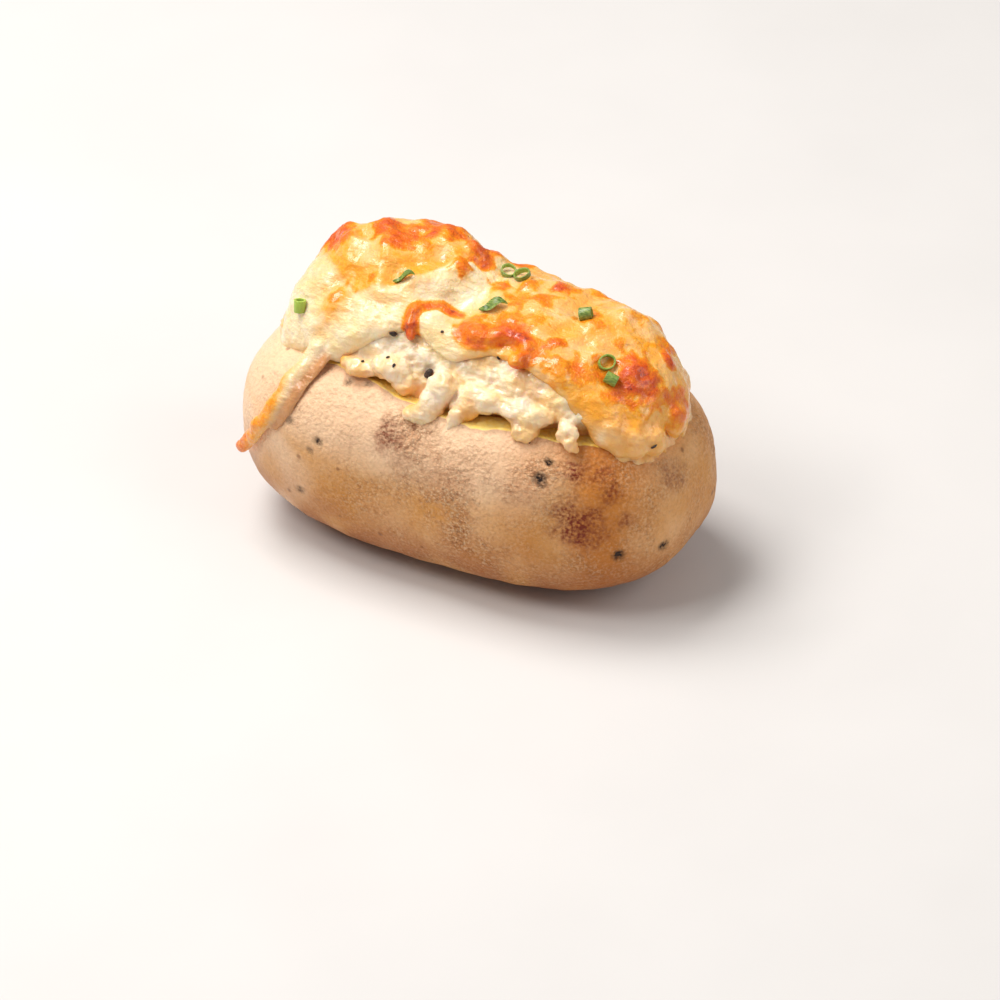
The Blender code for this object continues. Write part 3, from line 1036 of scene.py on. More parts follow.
@dataclass(frozen=True)
class CheeseFinish:
    """Moist mash or melted cheese, pale to browned by the mesh's brown mark."""

    name: str
    pale: Colour = paint(249, 230, 196)
    cream: Colour = paint(246, 212, 144)
    golden: Colour = paint(244, 162, 22)
    orange: Colour = paint(236, 122, 10)
    brown: Colour = paint(212, 78, 14)
    dark: Colour = paint(150, 48, 14)
    thin: Colour = paint(200, 138, 84)
    coat: float = 0.85

    def build(self) -> Finish:
        """Makes the material.

        Returns:
            The material, which reads the golden, thin and brown marks.
        """
        settings = see_into(0.4, (1.0, 0.6, 0.25), 0.0022)
        settings |= {"Roughness": 0.4, "Specular IOR Level": 0.35, "Coat Roughness": 0.12}
        finish, nodes, shader = new_finish(self.name, settings)
        place = nodes.millimetres()
        soft = nodes.grain(place, 5.0, 0.35, 0.65)
        small = nodes.grain(place, 1.4, 0.35, 0.68)
        fine = nodes.grain(place, 0.45, 0.3, 0.7)
        base = nodes.blend(nodes.product(soft, 0.7), self.pale, self.cream)
        base = nodes.blend(nodes.product(small, 0.25), base, self.cream)
        base = nodes.blend(nodes.value_of("golden"), base, self.golden)
        base = nodes.blend(nodes.value_of("thin"), base, self.thin)
        brown = nodes.value_of("brown")
        uneven = brown
        for grain, share in ((small, 0.16), (fine, 0.14)):
            uneven = nodes.with_share(nodes.maths("SUBTRACT", grain, 0.5), share, uneven)
        value = nodes.product(uneven, nodes.span(brown, 0.0, 0.4))
        tones = (self.cream, self.golden, self.orange, self.brown, self.dark)
        crust = nodes.ramp(value, tuple(zip((0.0, 0.26, 0.58, 0.88, 1.0), tones)))
        wet = nodes.grain(place, 2.6, 0.4, 0.62)
        height = nodes.with_share(fine, nodes.span(value, 0.0, 0.7, 0.3, 0.9), small)
        strings = nodes.stretched(place, (0.2, 0.1, 0.3), (0.5, 1.3, 1.3))
        height = nodes.with_share(nodes.grain(strings, 1.0, 0.3, 0.7), 0.9, height)
        surface = {
            "Base Color": nodes.blend(nodes.span(value, 0.0, 0.36), base, crust),
            "Roughness": nodes.span(small, 0.0, 1.0, 0.28, 0.44),
            "Coat Weight": nodes.span(wet, 0.0, 1.0, 0.05, self.coat),
            "Normal": nodes.bumped(height, 0.5, 0.0003),
        }
        nodes.fill(shader, surface)
        return finish


@dataclass(frozen=True)
class GreenFinish:
    """Cut chive or leaf."""

    light: Colour = paint(150, 168, 84)
    deep: Colour = paint(70, 104, 38)
    inner: Colour = paint(172, 196, 78)

    def build(self) -> Finish:
        """Makes the material.

        Returns:
            The material, which reads the inner mark.
        """
        settings = see_into(0.2, (0.5, 1.0, 0.2), 0.0008)
        settings |= {"Roughness": 0.38, "Coat Weight": 0.2}
        finish, nodes, shader = new_finish("chive_green", settings)
        along = nodes.stretched(nodes.millimetres(), (0.4, 0.2, 0.5), (0.4, 3.0, 3.0))
        fibres = nodes.grain(along, 0.8, 0.35, 0.65)
        colour = nodes.blend(fibres, self.deep, self.light)
        colour = nodes.blend(nodes.value_of("inner"), colour, self.inner)
        nodes.fill(shader, {"Base Color": colour, "Normal": nodes.bumped(fibres, 0.4, 0.0001)})
        return finish


@dataclass(frozen=True)
class PepperFinish:
    """Ground black pepper."""

    dark: Colour = paint(38, 26, 22)
    light: Colour = paint(92, 60, 44)

    def build(self) -> Finish:
        """Makes the material.

        Returns:
            The material.
        """
        finish, nodes, shader = new_finish("pepper", {"Roughness": 0.55})
        grain = nodes.grain(nodes.millimetres(), 0.4, 0.45, 0.7)
        colour = nodes.blend(grain, self.dark, self.light)
        nodes.fill(shader, {"Base Color": colour, "Normal": nodes.bumped(grain, 0.6, 0.0001)})
        return finish


@dataclass(frozen=True)
class FloorFinish:
    """A plain pale floor."""

    light: Colour = paint(220, 217, 215)
    dark: Colour = paint(217, 214, 212)

    def build(self) -> Finish:
        """Makes the material.

        Returns:
            The material.
        """
        settings = {"Roughness": 0.6, "Specular IOR Level": 0.3}
        finish, nodes, shader = new_finish("pale_floor", settings)
        grain = nodes.grain(nodes.millimetres(), 60.0)
        nodes.fill(shader, {"Base Color": nodes.blend(grain, self.light, self.dark)})
        return finish


# The pieces.


@dataclass
class Potato:
    """The potato in its skin, cut open at the top and hollowed."""

    around: int = 380
    rows: int = 230
    cut_share: float = 0.74
    hollow_depth: float = 16.0
    skin_length: float = 75.0
    highest_rim: float = 0.9 * math.pi
    halvings: int = 30
    flat_below: float = 0.6
    pits: tuple[Patch, ...] = (
        ((26.8, -25.4, 37.7), 1.7, 1.0), ((27.6, -25.0, 36.0), 1.3, 1.0),
        ((28.0, -22.9, 40.7), 1.0, 1.0), ((44.4, -21.6, 19.8), 1.7, 0.9),
        ((51.5, -13.4, 19.1), 1.6, 0.9), ((-33.9, -25.0, 34.3), 1.2, 0.5),
        ((-25.9, -27.4, 32.5), 1.1, 0.7), ((-27.8, -27.5, 29.5), 1.1, 0.6),
        ((-30.9, -26.8, 17.1), 1.5, 0.6), ((-22.0, -19.4, 44.5), 1.3, 0.6),
        ((-17.2, -18.8, 45.3), 1.2, 0.4), ((-47.0, -9.0, 36.0), 1.5, 0.5),
    )
    stains: tuple[Patch, ...] = (
        ((35.5, -26.0, 28.0), 6.5, 0.85), ((38.5, -25.5, 26.0), 6.5, 0.5),
        ((33.0, -22.5, 39.5), 3.6, 0.8), ((38.5, -19.5, 39.0), 4.0, 0.75),
        ((41.5, -20.5, 34.5), 3.4, 0.75), ((45.0, -20.0, 29.0), 2.6, 0.6),
        ((-9.0, -26.0, 38.0), 4.5, 0.6), ((-5.0, -27.5, 33.0), 4.0, 0.3),
        ((50.0, -8.0, 34.0), 4.5, 0.5), ((40.0, -27.0, 16.0), 3.5, 0.4),
    )
    netted: tuple[Patch, ...] = (
        ((-4.0, -25.6, 40.0), 7.0, 0.9), ((6.0, -29.0, 31.0), 8.5, 0.85),
        ((9.5, -29.5, 21.0), 8.0, 0.7), ((25.5, -27.0, 36.0), 7.0, 0.7),
        ((-14.0, -28.0, 22.0), 8.0, 0.4), ((20.0, -29.0, 14.0), 8.0, 0.4),
        ((-8.0, 27.0, 32.0), 13.0, 0.8), ((22.0, 28.0, 24.0), 12.0, 0.7),
        ((-36.0, -20.0, 38.0), 7.0, 0.45), ((48.0, 12.0, 30.0), 9.0, 0.6),
    )
    inside: np.ndarray = field(default_factory=lambda: np.zeros(0), init=False)

    def rim_turns(self, azimuths: np.ndarray) -> np.ndarray:
        """How far from straight down the skin meets the cut.

        Args:
            azimuths: Where round the potato to look.

        Returns:
            The turn at each azimuth.
        """
        azimuth = np.linspace(-math.pi, math.pi, self.around + 1)
        low = np.full(len(azimuth), math.pi / 2)
        high = np.full(len(azimuth), self.highest_rim)
        for _round in range(self.halvings):
            middle = (low + high) / 2
            points = skin_points(self.ways(azimuth, middle))
            over = points[:, 2] > self.ragged_rim(points[:, 0], points[:, 1])
            high = np.where(over, middle, high)
            low = np.where(over, low, middle)
        return np.interp(azimuths, azimuth, low)

    @staticmethod
    def ragged_rim(x: np.ndarray, y: np.ndarray) -> np.ndarray:
        """The cut's height with its small unevenness."""
        flat = in_plan(x, y)
        return rim_height(x, y) + 0.35 * lumps(flat, 5.0, 1.5) + 0.2 * lumps(flat, 1.8, 4.5)

    @staticmethod
    def ways(azimuth: np.ndarray, turn: np.ndarray) -> np.ndarray:
        """Directions from the potato's middle.

        Args:
            azimuth: Where round the potato, spread evenly along its length.
            turn: How far from straight down.

        Returns:
            The directions, one a row.
        """
        x = np.cos(azimuth) * POTATO_LENGTH
        y = np.sin(azimuth) * POTATO_WIDTH
        flat = np.hypot(x, y)
        return np.column_stack([x / flat * np.sin(turn), y / flat * np.sin(turn), -np.cos(turn)])

    def place(self, ways: np.ndarray) -> np.ndarray:
        """Each direction's point: the skin, then the cut, then the hollow.

        Args:
            ways: The directions.

        Returns:
            The points. Their distance inside the rim is kept too, minus on the skin.
        """
        azimuth = np.arctan2(ways[:, 1], ways[:, 0])
        share = np.arccos(np.clip(-ways[:, 2], -1.0, 1.0)) / math.pi
        up_skin = np.minimum(share / self.cut_share, 1.0)
        skin = skin_points(self.ways(azimuth, self.rim_turns(azimuth) * up_skin))
        inward = np.clip((share - self.cut_share) / (1.0 - self.cut_share), 0.0, 1.0)
        shrink = np.where(inward < 0.5, 1.0 - 0.5 * inward, 1.5 * (1.0 - inward))
        shrink = np.clip(shrink, 0.0, 1.0)
        flat = skin[:, :2] * shrink[:, None]
        level = self.ragged_rim(flat[:, 0], flat[:, 1])
        level -= self.hollow_depth * smooth_step(0.4, 0.9, inward)
        level += 0.25 * smooth_step(0.0, 0.04, inward) * (1.0 - smooth_step(0.04, 0.2, inward))
        past_rim = (1.0 - shrink) * np.linalg.norm(skin[:, :2], axis=1)
        self.inside = np.where(inward > 0.0, past_rim, (up_skin - 1.0) * self.skin_length)
        return np.column_stack([flat, np.where(inward > 0.0, level, skin[:, 2])])

    def build(self, finish: Finish) -> Piece:
        """Makes the piece.

        Args:
            finish: The skin's material.

        Returns:
            The potato, in place.
        """
        thing = as_object("potato_in_skin", ringed_ball(self.place, self.around, self.rows))
        mesh = thing.data
        points = coordinates(mesh)
        x, _y, z = points.T
        net = 0.1 + 0.3 * smooth_step(-34.0, -4.0, x) * cloud(points, 9.0, 0.7, -0.3, 0.4)
        net = 1.0 - (1.0 - net) * (1.0 - near_places(points, self.netted, 0.5))
        pits = near_places(points, self.pits, 0.35)
        left = 0.95 * (1.0 - smooth_step(-44.0, -14.0, x)) * cloud(points, 11.0, 3.3, -0.6, 0.3)
        # Painted light: the upper middle of the skin is made lighter, as where light from above
        # falls.
        high = 0.8 * smooth_step(24.0, 36.0, z) * (1.0 - smooth_step(22.0, 36.0, x))
        # Right side: deeper ochre with painted shade, eased off again at the right end.
        right = 0.9 * smooth_step(12.0, 38.0, x) * cloud(points, 12.0, 8.0, -0.7, 0.2)
        mark(
            mesh,
            net=np.clip(net, 0.0, 1.0),
            pink=np.maximum(left, high),
            shade=right * (1.0 - 0.75 * smooth_step(42.0, 52.0, x)),
            # Painted shade: darker brown towards the bottom.
            low=0.95 * smooth_step(28.0, 4.0, z) * cloud(points, 9.0, 5.0, -0.9, 0.2),
            pit=pits,
            stain=near_places(points, self.stains, 0.4),
            inside=self.inside,
        )
        relief = rough(points, (0.22, 6.0, 2.2), (0.10, 2.2, 7.7))
        relief += 0.09 * net * lumps(points, 1.1, 3.0)
        relief -= 0.35 * pits + 0.16
        relief *= np.where(z > self.flat_below, 1.0, 0.0)
        relief *= np.where(self.inside < -0.5, 1.0, 0.25)
        put_coordinates(mesh, points + facings(mesh) * relief[:, None])
        mesh.materials.append(finish)
        return thing


@dataclass
class Filling:
    """The mash: a heap on the cut, with lumps that hang over its front edge."""

    fineness: int = 7
    voxel: float = 0.45
    rounds: int = 8
    set_back: tuple[Patch, ...] = (
        ((12.0, -19.5, 43.5), 7.5, 5.0), ((26.5, -19.0, 43.0), 6.0, 4.4),
        ((35.0, -18.0, 42.5), 7.0, 5.0), ((-16.0, -19.0, 44.5), 5.5, 3.2),
        ((-26.0, -17.5, 45.0), 4.5, 3.2),
    )
    lumps: tuple[Lump, ...] = (
        ((0.0, -17.5, 48.5), (3.4, 3.0, 4.0)), ((-1.6, -20.5, 45.6), (2.9, 2.8, 3.2)),
        ((-3.6, -22.4, 43.6), (3.3, 2.0, 2.2)), ((10.0, -17.2, 48.4), (6.0, 3.0, 3.2)),
        ((6.4, -19.4, 46.0), (3.4, 1.9, 3.0)), ((4.9, -21.4, 44.2), (2.0, 1.3, 2.6)),
        ((4.2, -22.4, 42.6), (1.0, 0.9, 1.5)), ((20.0, -17.6, 47.9), (6.5, 3.0, 3.0)),
        ((20.8, -19.8, 45.0), (3.0, 2.4, 2.4)), ((30.2, -18.2, 46.6), (2.8, 2.0, 2.0)),
        ((31.3, -19.8, 44.7), (1.6, 1.3, 1.5)), ((28.9, -19.2, 45.2), (1.2, 1.2, 1.0)),
        ((32.8, -19.9, 43.7), (0.9, 0.9, 0.9)), ((-13.0, -17.0, 49.5), (4.6, 2.8, 2.6)),
        ((-20.5, -16.8, 47.6), (4.4, 2.6, 2.0)), ((-9.0, -17.5, 47.0), (2.6, 2.4, 2.2)),
    )
    # A golden patch in the notch between the strand's top and the mash: painted shade in the
    # hollow.
    shaded_notch: tuple[Patch, ...] = (
        ((-26.0, -15.5, 47.5), 4.0, 1.0),
    )

    def heap(self, ways: np.ndarray) -> np.ndarray:
        """Points of the heap, set back where the cut flesh shows.

        Args:
            ways: Directions from the heap's middle.

        Returns:
            The point in each direction.
        """
        points = mash_points(ways)
        for place, radius, depth in self.set_back:
            far = np.linalg.norm(points - place, axis=1) / radius
            points[:, 1] += depth * (1.0 - smooth_step(0.2, 1.1, far))
        return points

    def build(self, finish: Finish) -> Piece:
        """Makes the piece.

        Args:
            finish: The mash's material.

        Returns:
            The filling, in place.
        """
        parts = [ball(self.heap, self.fineness)]
        parts += [egg(centre, half) for centre, half in self.lumps]
        thing = melt_together("mash_filling", parts, self.voxel, self.rounds)
        mesh = thing.data
        points = coordinates(mesh)
        relief = 0.75 * lumps(points, 3.0, 1.0) + 0.45 * folds(points, 2.0, 4.0)
        relief += 0.2 * lumps(points, 1.1, 6.0)
        put_coordinates(mesh, points + facings(mesh) * relief[:, None])
        x, y, z = points.T
        golden = 0.55 * (1.0 - smooth_step(0.5, 5.0, z - rim_height(x, y)))
        golden *= smooth_step(-24.0, -19.5, y) * (1.0 - 0.8 * smooth_step(-34.0, -40.0, x))
        golden += 0.1 + 0.3 * cloud(points, 6.0, 9.0, 0.0, 0.5)
        # Painted shade in the notch by the strand's top.
        golden += 0.8 * near_places(points, self.shaded_notch, 0.2)
        none = np.zeros(len(points))
        mark(mesh, golden=np.clip(golden, 0.0, 0.9), brown=none, thin=none)
        mesh.materials.append(finish)
        return thing


@dataclass
class Topping:
    """The melted cheese: a browned blanket with a curl, a strip, and a strand down the skin.

    The paths of the curl and of the strip are given in plan with a height over the cheese.
    """

    fineness: int = 7
    drape_fineness: int = 4
    voxel: float = 0.42
    rounds: int = 12
    strand_half: Spot = (2.3, 1.6)
    film_half: Spot = (1.7, 0.9)
    curl_half: Spot = (1.4, 1.8)
    strip_half: Spot = (2.1, 1.8)
    curl_browning: float = 2.8
    strip_browning: float = 4.3
    strand_browning: float = 3.4
    strand_gilding: float = 2.8
    film_reach: float = 3.0
    strand: tuple[Point, ...] = (
        (-30.0, -11.5, 53.0), (-32.4, -16.0, 47.2), (-35.6, -19.8, 42.2), (-38.0, -23.0, 37.0),
        (-41.5, -24.0, 30.5), (-46.0, -22.2, 23.0), (-49.0, -20.6, 18.8),
    )
    film: tuple[Point, ...] = (
        (-26.0, -12.5, 53.5), (-29.4, -17.0, 46.6), (-32.6, -21.6, 41.4), (-35.2, -24.3, 35.6),
        (-38.4, -24.8, 30.0),
    )
    curl: tuple[Point, ...] = (
        (-9.6, -13.4, 0.4), (-10.6, -11.6, 1.3), (-10.7, -9.0, 1.9), (-8.7, -6.4, 1.8),
        (-5.8, -5.2, 1.3), (-2.4, -5.4, 0.2),
    )
    strip: tuple[Point, ...] = (
        (2.2, -10.2, 0.0), (5.2, -11.3, 0.9), (8.2, -9.7, 1.3), (11.2, -7.9, 1.4),
        (14.6, -8.4, 1.6), (17.0, -11.0, 1.7), (15.8, -14.8, 1.3),
    )
    drapes: tuple[Lump, ...] = (
        ((38.0, -14.8, 46.0), (4.5, 2.2, 4.0)), ((42.5, -13.0, 43.8), (4.5, 2.2, 4.4)),
        ((46.6, -8.6, 43.0), (2.8, 3.4, 4.0)), ((48.6, -1.5, 44.0), (2.2, 3.6, 4.2)),
        ((5.4, -9.8, 59.8), (4.2, 3.2, 1.9)), ((16.2, -13.8, 58.6), (2.3, 2.6, 1.9)),
    )
    fold_x: tuple[float, ...] = (-40.0, -32.0, -25.7, -18.8, -12.1, -7.5, 0.0)
    fold_y: tuple[float, ...] = (2.0, -5.0, -9.0, -7.5, -2.7, 4.4, 12.0)
    gilded: tuple[PlanPatch, ...] = (
        ((-29.9, -9.8), 4.4, 1.0), ((-20.0, -3.0), 4.0, 0.5), ((1.0, -8.0), 5.0, 0.6),
        ((-14.0, -1.0), 5.0, 0.35), ((-34.0, -4.0), 5.0, 0.35), ((-22.0, -8.0), 5.0, 0.3),
        ((-12.0, -9.0), 4.0, 0.25), ((-40.0, 2.0), 6.0, 0.25), ((33.0, -15.0), 5.0, 0.4),
        ((41.0, -14.0), 4.0, 0.35),
    )
    browned: tuple[PlanPatch, ...] = (
        ((41.0, -4.5), 5.2, 0.86), ((38.5, -8.5), 2.6, 0.5), ((44.2, 4.9), 1.7, 0.85),
        ((49.7, 2.2), 2.8, 0.6), ((49.5, -2.5), 2.8, 0.6), ((15.2, 10.1), 2.2, 0.8),
        ((14.3, 4.2), 3.0, 0.42), ((25.2, 4.1), 3.0, 0.5), ((22.4, -6.7), 2.0, 0.66),
        ((25.6, -12.6), 4.4, 0.38), ((21.0, -10.0), 3.0, 0.26), ((30.3, -9.8), 3.8, 0.4),
        ((33.7, -6.9), 3.0, 0.36), ((37.0, -11.6), 2.5, 0.36), ((8.5, 9.1), 3.2, 0.42),
        ((2.9, 5.5), 2.6, 0.4), ((28.6, 1.7), 1.6, 0.42), ((35.0, 8.8), 3.0, 0.36),
        ((41.5, 8.5), 3.0, 0.4), ((34.0, 0.4), 2.0, 0.36), ((17.9, 12.2), 3.0, 0.45),
        ((16.4, -2.9), 3.0, 0.34), ((9.0, 2.6), 3.2, 0.46), ((10.0, -5.0), 5.0, 0.42),
        ((3.0, -8.0), 4.4, 0.4), ((37.5, 3.2), 2.5, 0.3), ((-5.6, 3.8), 2.8, 0.52),
        ((-5.0, 10.9), 3.0, 0.75), ((-2.3, 14.1), 2.2, 0.6), ((-2.7, 9.8), 2.4, 0.6),
        ((-22.5, 7.5), 5.5, 0.6), ((-22.0, 5.0), 3.0, 0.4), ((-27.5, 10.0), 4.0, 0.5),
        ((-15.5, 15.5), 6.0, 0.66), ((-16.0, 8.0), 4.0, 0.35), ((-9.5, 13.0), 3.0, 0.5),
        ((-34.5, 3.4), 3.4, 0.5), ((-38.0, 8.0), 4.4, 0.74), ((-22.0, -2.0), 5.0, 0.2),
        ((-29.9, -9.8), 3.0, 0.46), ((-28.9, -5.4), 1.4, 0.4), ((-23.2, -5.4), 1.3, 0.4),
        ((-25.8, -7.2), 1.0, 0.35), ((-34.5, -16.0), 1.2, 0.3), ((-30.0, 18.0), 4.0, 0.5),
        ((4.0, 18.0), 3.6, 0.5), ((26.0, 17.0), 4.0, 0.55), ((38.0, 16.0), 3.0, 0.4),
        ((-40.0, 10.0), 3.0, 0.4),
    )

    @staticmethod
    def over_heap(path: Sequence[Point]) -> list[Point]:
        """A path given over the cheese, as points in space.

        Args:
            path: Places in plan, each with its height over the middle of the cheese.

        Returns:
            The points.
        """
        flat = np.array(path)
        height = heap_top(flat[:, 0], flat[:, 1]) + CHEESE_THICKNESS / 2 + flat[:, 2]
        return [tuple(row) for row in np.column_stack([flat[:, :2], height])]

    @staticmethod
    def near_path(points: np.ndarray, path: Sequence[Point], radius: float) -> np.ndarray:
        """How near each point is to a path.

        Args:
            points: The points.
            path: The points that the path follows.
            radius: How far from the path its nearness reaches.

        Returns:
            1 on the path and 0 beyond radius.
        """
        nearest = np.full(len(points), math.inf)
        for step in range(PATH_STEPS + 1):
            place, _heading = on_path(path, step / PATH_STEPS)
            nearest = np.minimum(nearest, np.linalg.norm(points - np.array(place), axis=1))
        start, end = PATH_FADE
        return 1.0 - smooth_step(start * radius, end * radius, nearest)

    def brown(self, points: np.ndarray) -> np.ndarray:
        """How browned the cheese is.

        Args:
            points: The cheese's points.

        Returns:
            A value from 0 to 1 for each point.
        """
        x, y, z = points.T
        patches = near_spots(points, self.browned, 0.5) * smooth_step(40.0, 46.0, z)
        dome = smooth_step(-6.0, 4.0, x) * smooth_step(-15.0, -9.0, y)
        hump = smooth_step(60.0, 65.0, z) * smooth_step(0.0, 4.0, y)
        back = smooth_step(4.0, 10.0, y) * smooth_step(50.0, 56.0, z)
        small = cloud(points, 3.4, 12.0, 0.12, 0.55)
        tiny = cloud(points, 1.6, 15.0, 0.2, 0.6)
        wide = np.maximum(np.maximum(dome, hump), back)
        scattered = wide * (0.04 + 0.26 * small + 0.14 * tiny)
        edge = cloud(points, 2.6, 31.0, -0.1, 0.5)
        curl = self.near_path(points, self.over_heap(self.curl), self.curl_browning)
        curl *= 0.85 + 0.35 * edge
        strip = self.near_path(points, self.over_heap(self.strip), self.strip_browning)
        strip *= 0.8 + 0.45 * edge
        down = 0.42 * smooth_step(33.0, 39.0, -x) + 0.16 * smooth_step(44.0, 48.0, -x)
        strand = self.near_path(points, self.strand, self.strand_browning) * down
        clear = (1.0 - patches) * (1.0 - scattered) * (1.0 - strand)
        return 1.0 - clear * (1.0 - 0.92 * curl) * (1.0 - 0.7 * strip)

    def build(self, finish: Finish) -> Piece:
        """Makes the piece.

        Args:
            finish: The cheese's material.

        Returns:
            The topping, in place.
        """
        parts = [
            ball(cheese_points, self.fineness),
            ridge(self.strand, self.strand_half, bulge),
            ridge(self.film, self.film_half, bulge),
            ridge(self.over_heap(self.curl), self.curl_half, straight_up),
            ridge(self.over_heap(self.strip), self.strip_half, straight_up),
        ]
        parts += [egg(centre, half, self.drape_fineness) for centre, half in self.drapes]
        thing = melt_together("cheese_topping", parts, self.voxel, self.rounds)
        mesh = thing.data
        points = coordinates(mesh)
        x, y, z = points.T
        out = facings(mesh)
        brown = self.brown(points)
        drawn = points * (0.45, 1.0, 1.0)
        relief = 0.5 * lumps(points, 4.0, 1.0) + 0.2 * folds(drawn, 2.6, 4.0) - 0.45
        relief += 0.07 * lumps(points, 1.2, 6.0) + brown * (0.28 + 0.22 * lumps(points, 1.0, 8.0))
        upper = 0.3 + 0.7 * smooth_step(-0.3, 0.2, out[:, 2])
        put_coordinates(mesh, points + out * (relief * upper)[:, None])
        dome = smooth_step(-2.0, 10.0, x) * smooth_step(-21.0, -12.0, y)
        past_fold = y - np.interp(x, self.fold_x, self.fold_y)
        hump = smooth_step(0.0, 3.0, past_fold) * smooth_step(57.0, 62.0, z)
        golden = (0.56 + 0.34 * cloud(points, 6.0, 21.0, -0.4, 0.5)) * np.maximum(dome, hump)
        golden += near_spots(points, self.gilded, 0.4)
        golden += 0.2 * cloud(points, 9.0, 23.0, 0.0, 0.6) * smooth_step(-18.0, -6.0, y)
        # More golden just behind the fold: painted shade in the valley above the front sheet's
        # edge.
        golden = np.clip(golden + 0.35 * hump * smooth_step(8.0, 2.0, past_fold), 0.0, 0.95)
        strand = self.near_path(points, self.strand, self.strand_gilding)
        golden = np.clip(golden + 0.9 * strand * smooth_step(31.0, 41.0, -x), 0.0, 0.95)
        thin = 0.95 * self.near_path(points, self.film[1:], self.film_reach) * (1.0 - strand)
        mark(mesh, thin=thin, golden=golden, brown=brown)
        mesh.materials.append(finish)
        return thing


@dataclass
class Greens:
    """Cut chives and small leaves that lie on the cheese.

    A chive is given as its place in plan, radius, length, lean and turn in half turns, wall
    and youth. A leaf is given as its place in plan, length and turn in radians.
    """

    sides: int = 28
    rim_round: float = 0.08
    unevenness: Spot = (0.10, 0.12)
    seated: float = 0.7
    leaf_fineness: int = 4
    chives: tuple[tuple[Spot, float, float, Spot, float, float], ...] = (
        ((2.9, 10.5), 1.7, 1.1, (0.35, 0.3), 0.3, 0.1),
        ((6.2, 10.1), 1.8, 1.2, (0.3, -0.3), 0.3, 0.1),
        ((33.4, -5.0), 1.9, 1.4, (0.2, 0.3), 0.36, 0.35),
        ((24.8, 4.0), 1.4, 2.8, (1.4, -0.4), 0.45, 0.0),
        ((35.9, -8.0), 1.3, 2.8, (1.3, -0.5), 0.45, 0.2),
        ((-38.0, -9.0), 1.3, 2.8, (1.4, 0.9), 0.45, 0.9),
    )
    leaves: tuple[tuple[Spot, float, float], ...] = (
        ((-15.8, -4.0), 5.0, 0.4), ((4.8, -1.8), 6.5, 0.5),
    )

    @staticmethod
    def seat(surface: BVHTree, x: float, y: float) -> tuple[Vector, Vector]:
        """Where a line straight down meets the surface, and the way the surface faces there."""
        place, facing, _face, _distance = surface.ray_cast(Vector((x, y, 2 * POTATO_DEPTH)), -UP)
        return place, facing

    def chive(
        self, surface: BVHTree, spot: Spot, radius: float, length: float, tilt: Spot, wall: float
    ) -> Shell:
        """A short tube of chive.

        Args:
            surface: What it lies on.
            spot: Its place in plan.
            radius: Its outer radius.
            length: Its length.
            tilt: Its lean, and its turn in half turns.
            wall: How thick its wall is.

        Returns:
            The closed tube, in millimetres.
        """
        ring = bmesh.new()
        bmesh.ops.create_cone(
            ring, cap_ends=True, segments=self.sides, radius1=radius, radius2=radius, depth=length
        )
        caps = [face for face in ring.faces if len(face.verts) == self.sides]
        bmesh.ops.inset_individual(ring, faces=caps, thickness=wall)
        bmesh.ops.bridge_loops(ring, edges=[edge for face in caps for edge in face.edges])
        bmesh.ops.delete(ring, geom=caps, context="FACES_ONLY")
        bmesh.ops.recalc_face_normals(ring, faces=ring.faces[:])
        rims = [edge for edge in ring.edges if edge.calc_face_angle(0.0) > 1.0]
        bmesh.ops.bevel(
            ring,
            geom=rims,
            offset=self.rim_round,
            segments=2,
            profile=0.5,
            affect="EDGES",
            material=-1,
        )
        for vert in ring.verts:
            vert.co.x *= 1.0 + self.unevenness[0] * math.sin(spot[0] + vert.co.z)
            vert.co.y *= 1.0 - self.unevenness[1] * math.sin(spot[1])
        lean, turn = tilt
        reach = radius * math.sin(lean) + length / 2 * math.cos(lean)
        place, facing = self.seat(surface, *spot)
        lying = Matrix.Rotation(turn * math.pi, 4, "Z") @ Matrix.Rotation(lean, 4, "X")
        stand_on(ring, place + facing * reach * self.seated, facing, lying)
        return ring

    def leaf(self, surface: BVHTree, spot: Spot, length: float, turn: float) -> Shell:
        """A thin wavy leaf.

        Args:
            surface: What it lies on.
            spot: Its place in plan.
            length: Its length.
            turn: Its turn in plan, in radians.

        Returns:
            The closed leaf, in millimetres.
        """

        def over_cheese(way: np.ndarray) -> Vector:
            """A direction's point on the leaf.

            Args:
                way: The direction.

            Returns:
                The point.
            """
            across = way[1] * length * 0.2 * (1.0 - 0.35 * way[0]) * (1.0 - 0.6 * way[0] ** 2)
            heading = Matrix.Rotation(turn, 2) @ Vector((way[0] * length / 2, across))
            below, _facing = self.seat(surface, spot[0] + heading.x, spot[1] + heading.y)
            wave = 0.5 * math.sin(way[0] * 3.4) + 0.9 * abs(way[1])
            return below + UP * (0.5 + wave + 0.16 * way[2])

        return ball(lambda ways: np.array([over_cheese(way) for way in ways]), self.leaf_fineness)

    def build(self, surface: BVHTree, finish: Finish) -> list[Piece]:
        """Makes the pieces.

        Args:
            surface: The cheese's surface.
            finish: Their material.

        Returns:
            The pieces, in place.
        """
        made = []
        for number, (*shape, young) in enumerate(self.chives, 1):
            thing = as_object(f"chive_{number}", self.chive(surface, *shape))
            points = coordinates(thing.data)
            outward = ((points - points.mean(axis=0)) * facings(thing.data)).sum(axis=1)
            mark(thing.data, inner=np.where(outward < 0.0, 0.7, young))
            made.append(thing)
        for number, shape in enumerate(self.leaves, 1):
            thing = as_object(f"leaf_{number}", self.leaf(surface, *shape))
            mark(thing.data, inner=np.zeros(len(thing.data.vertices)))
            made.append(thing)
        for thing in made:
            thing.data.materials.append(finish)
        return made


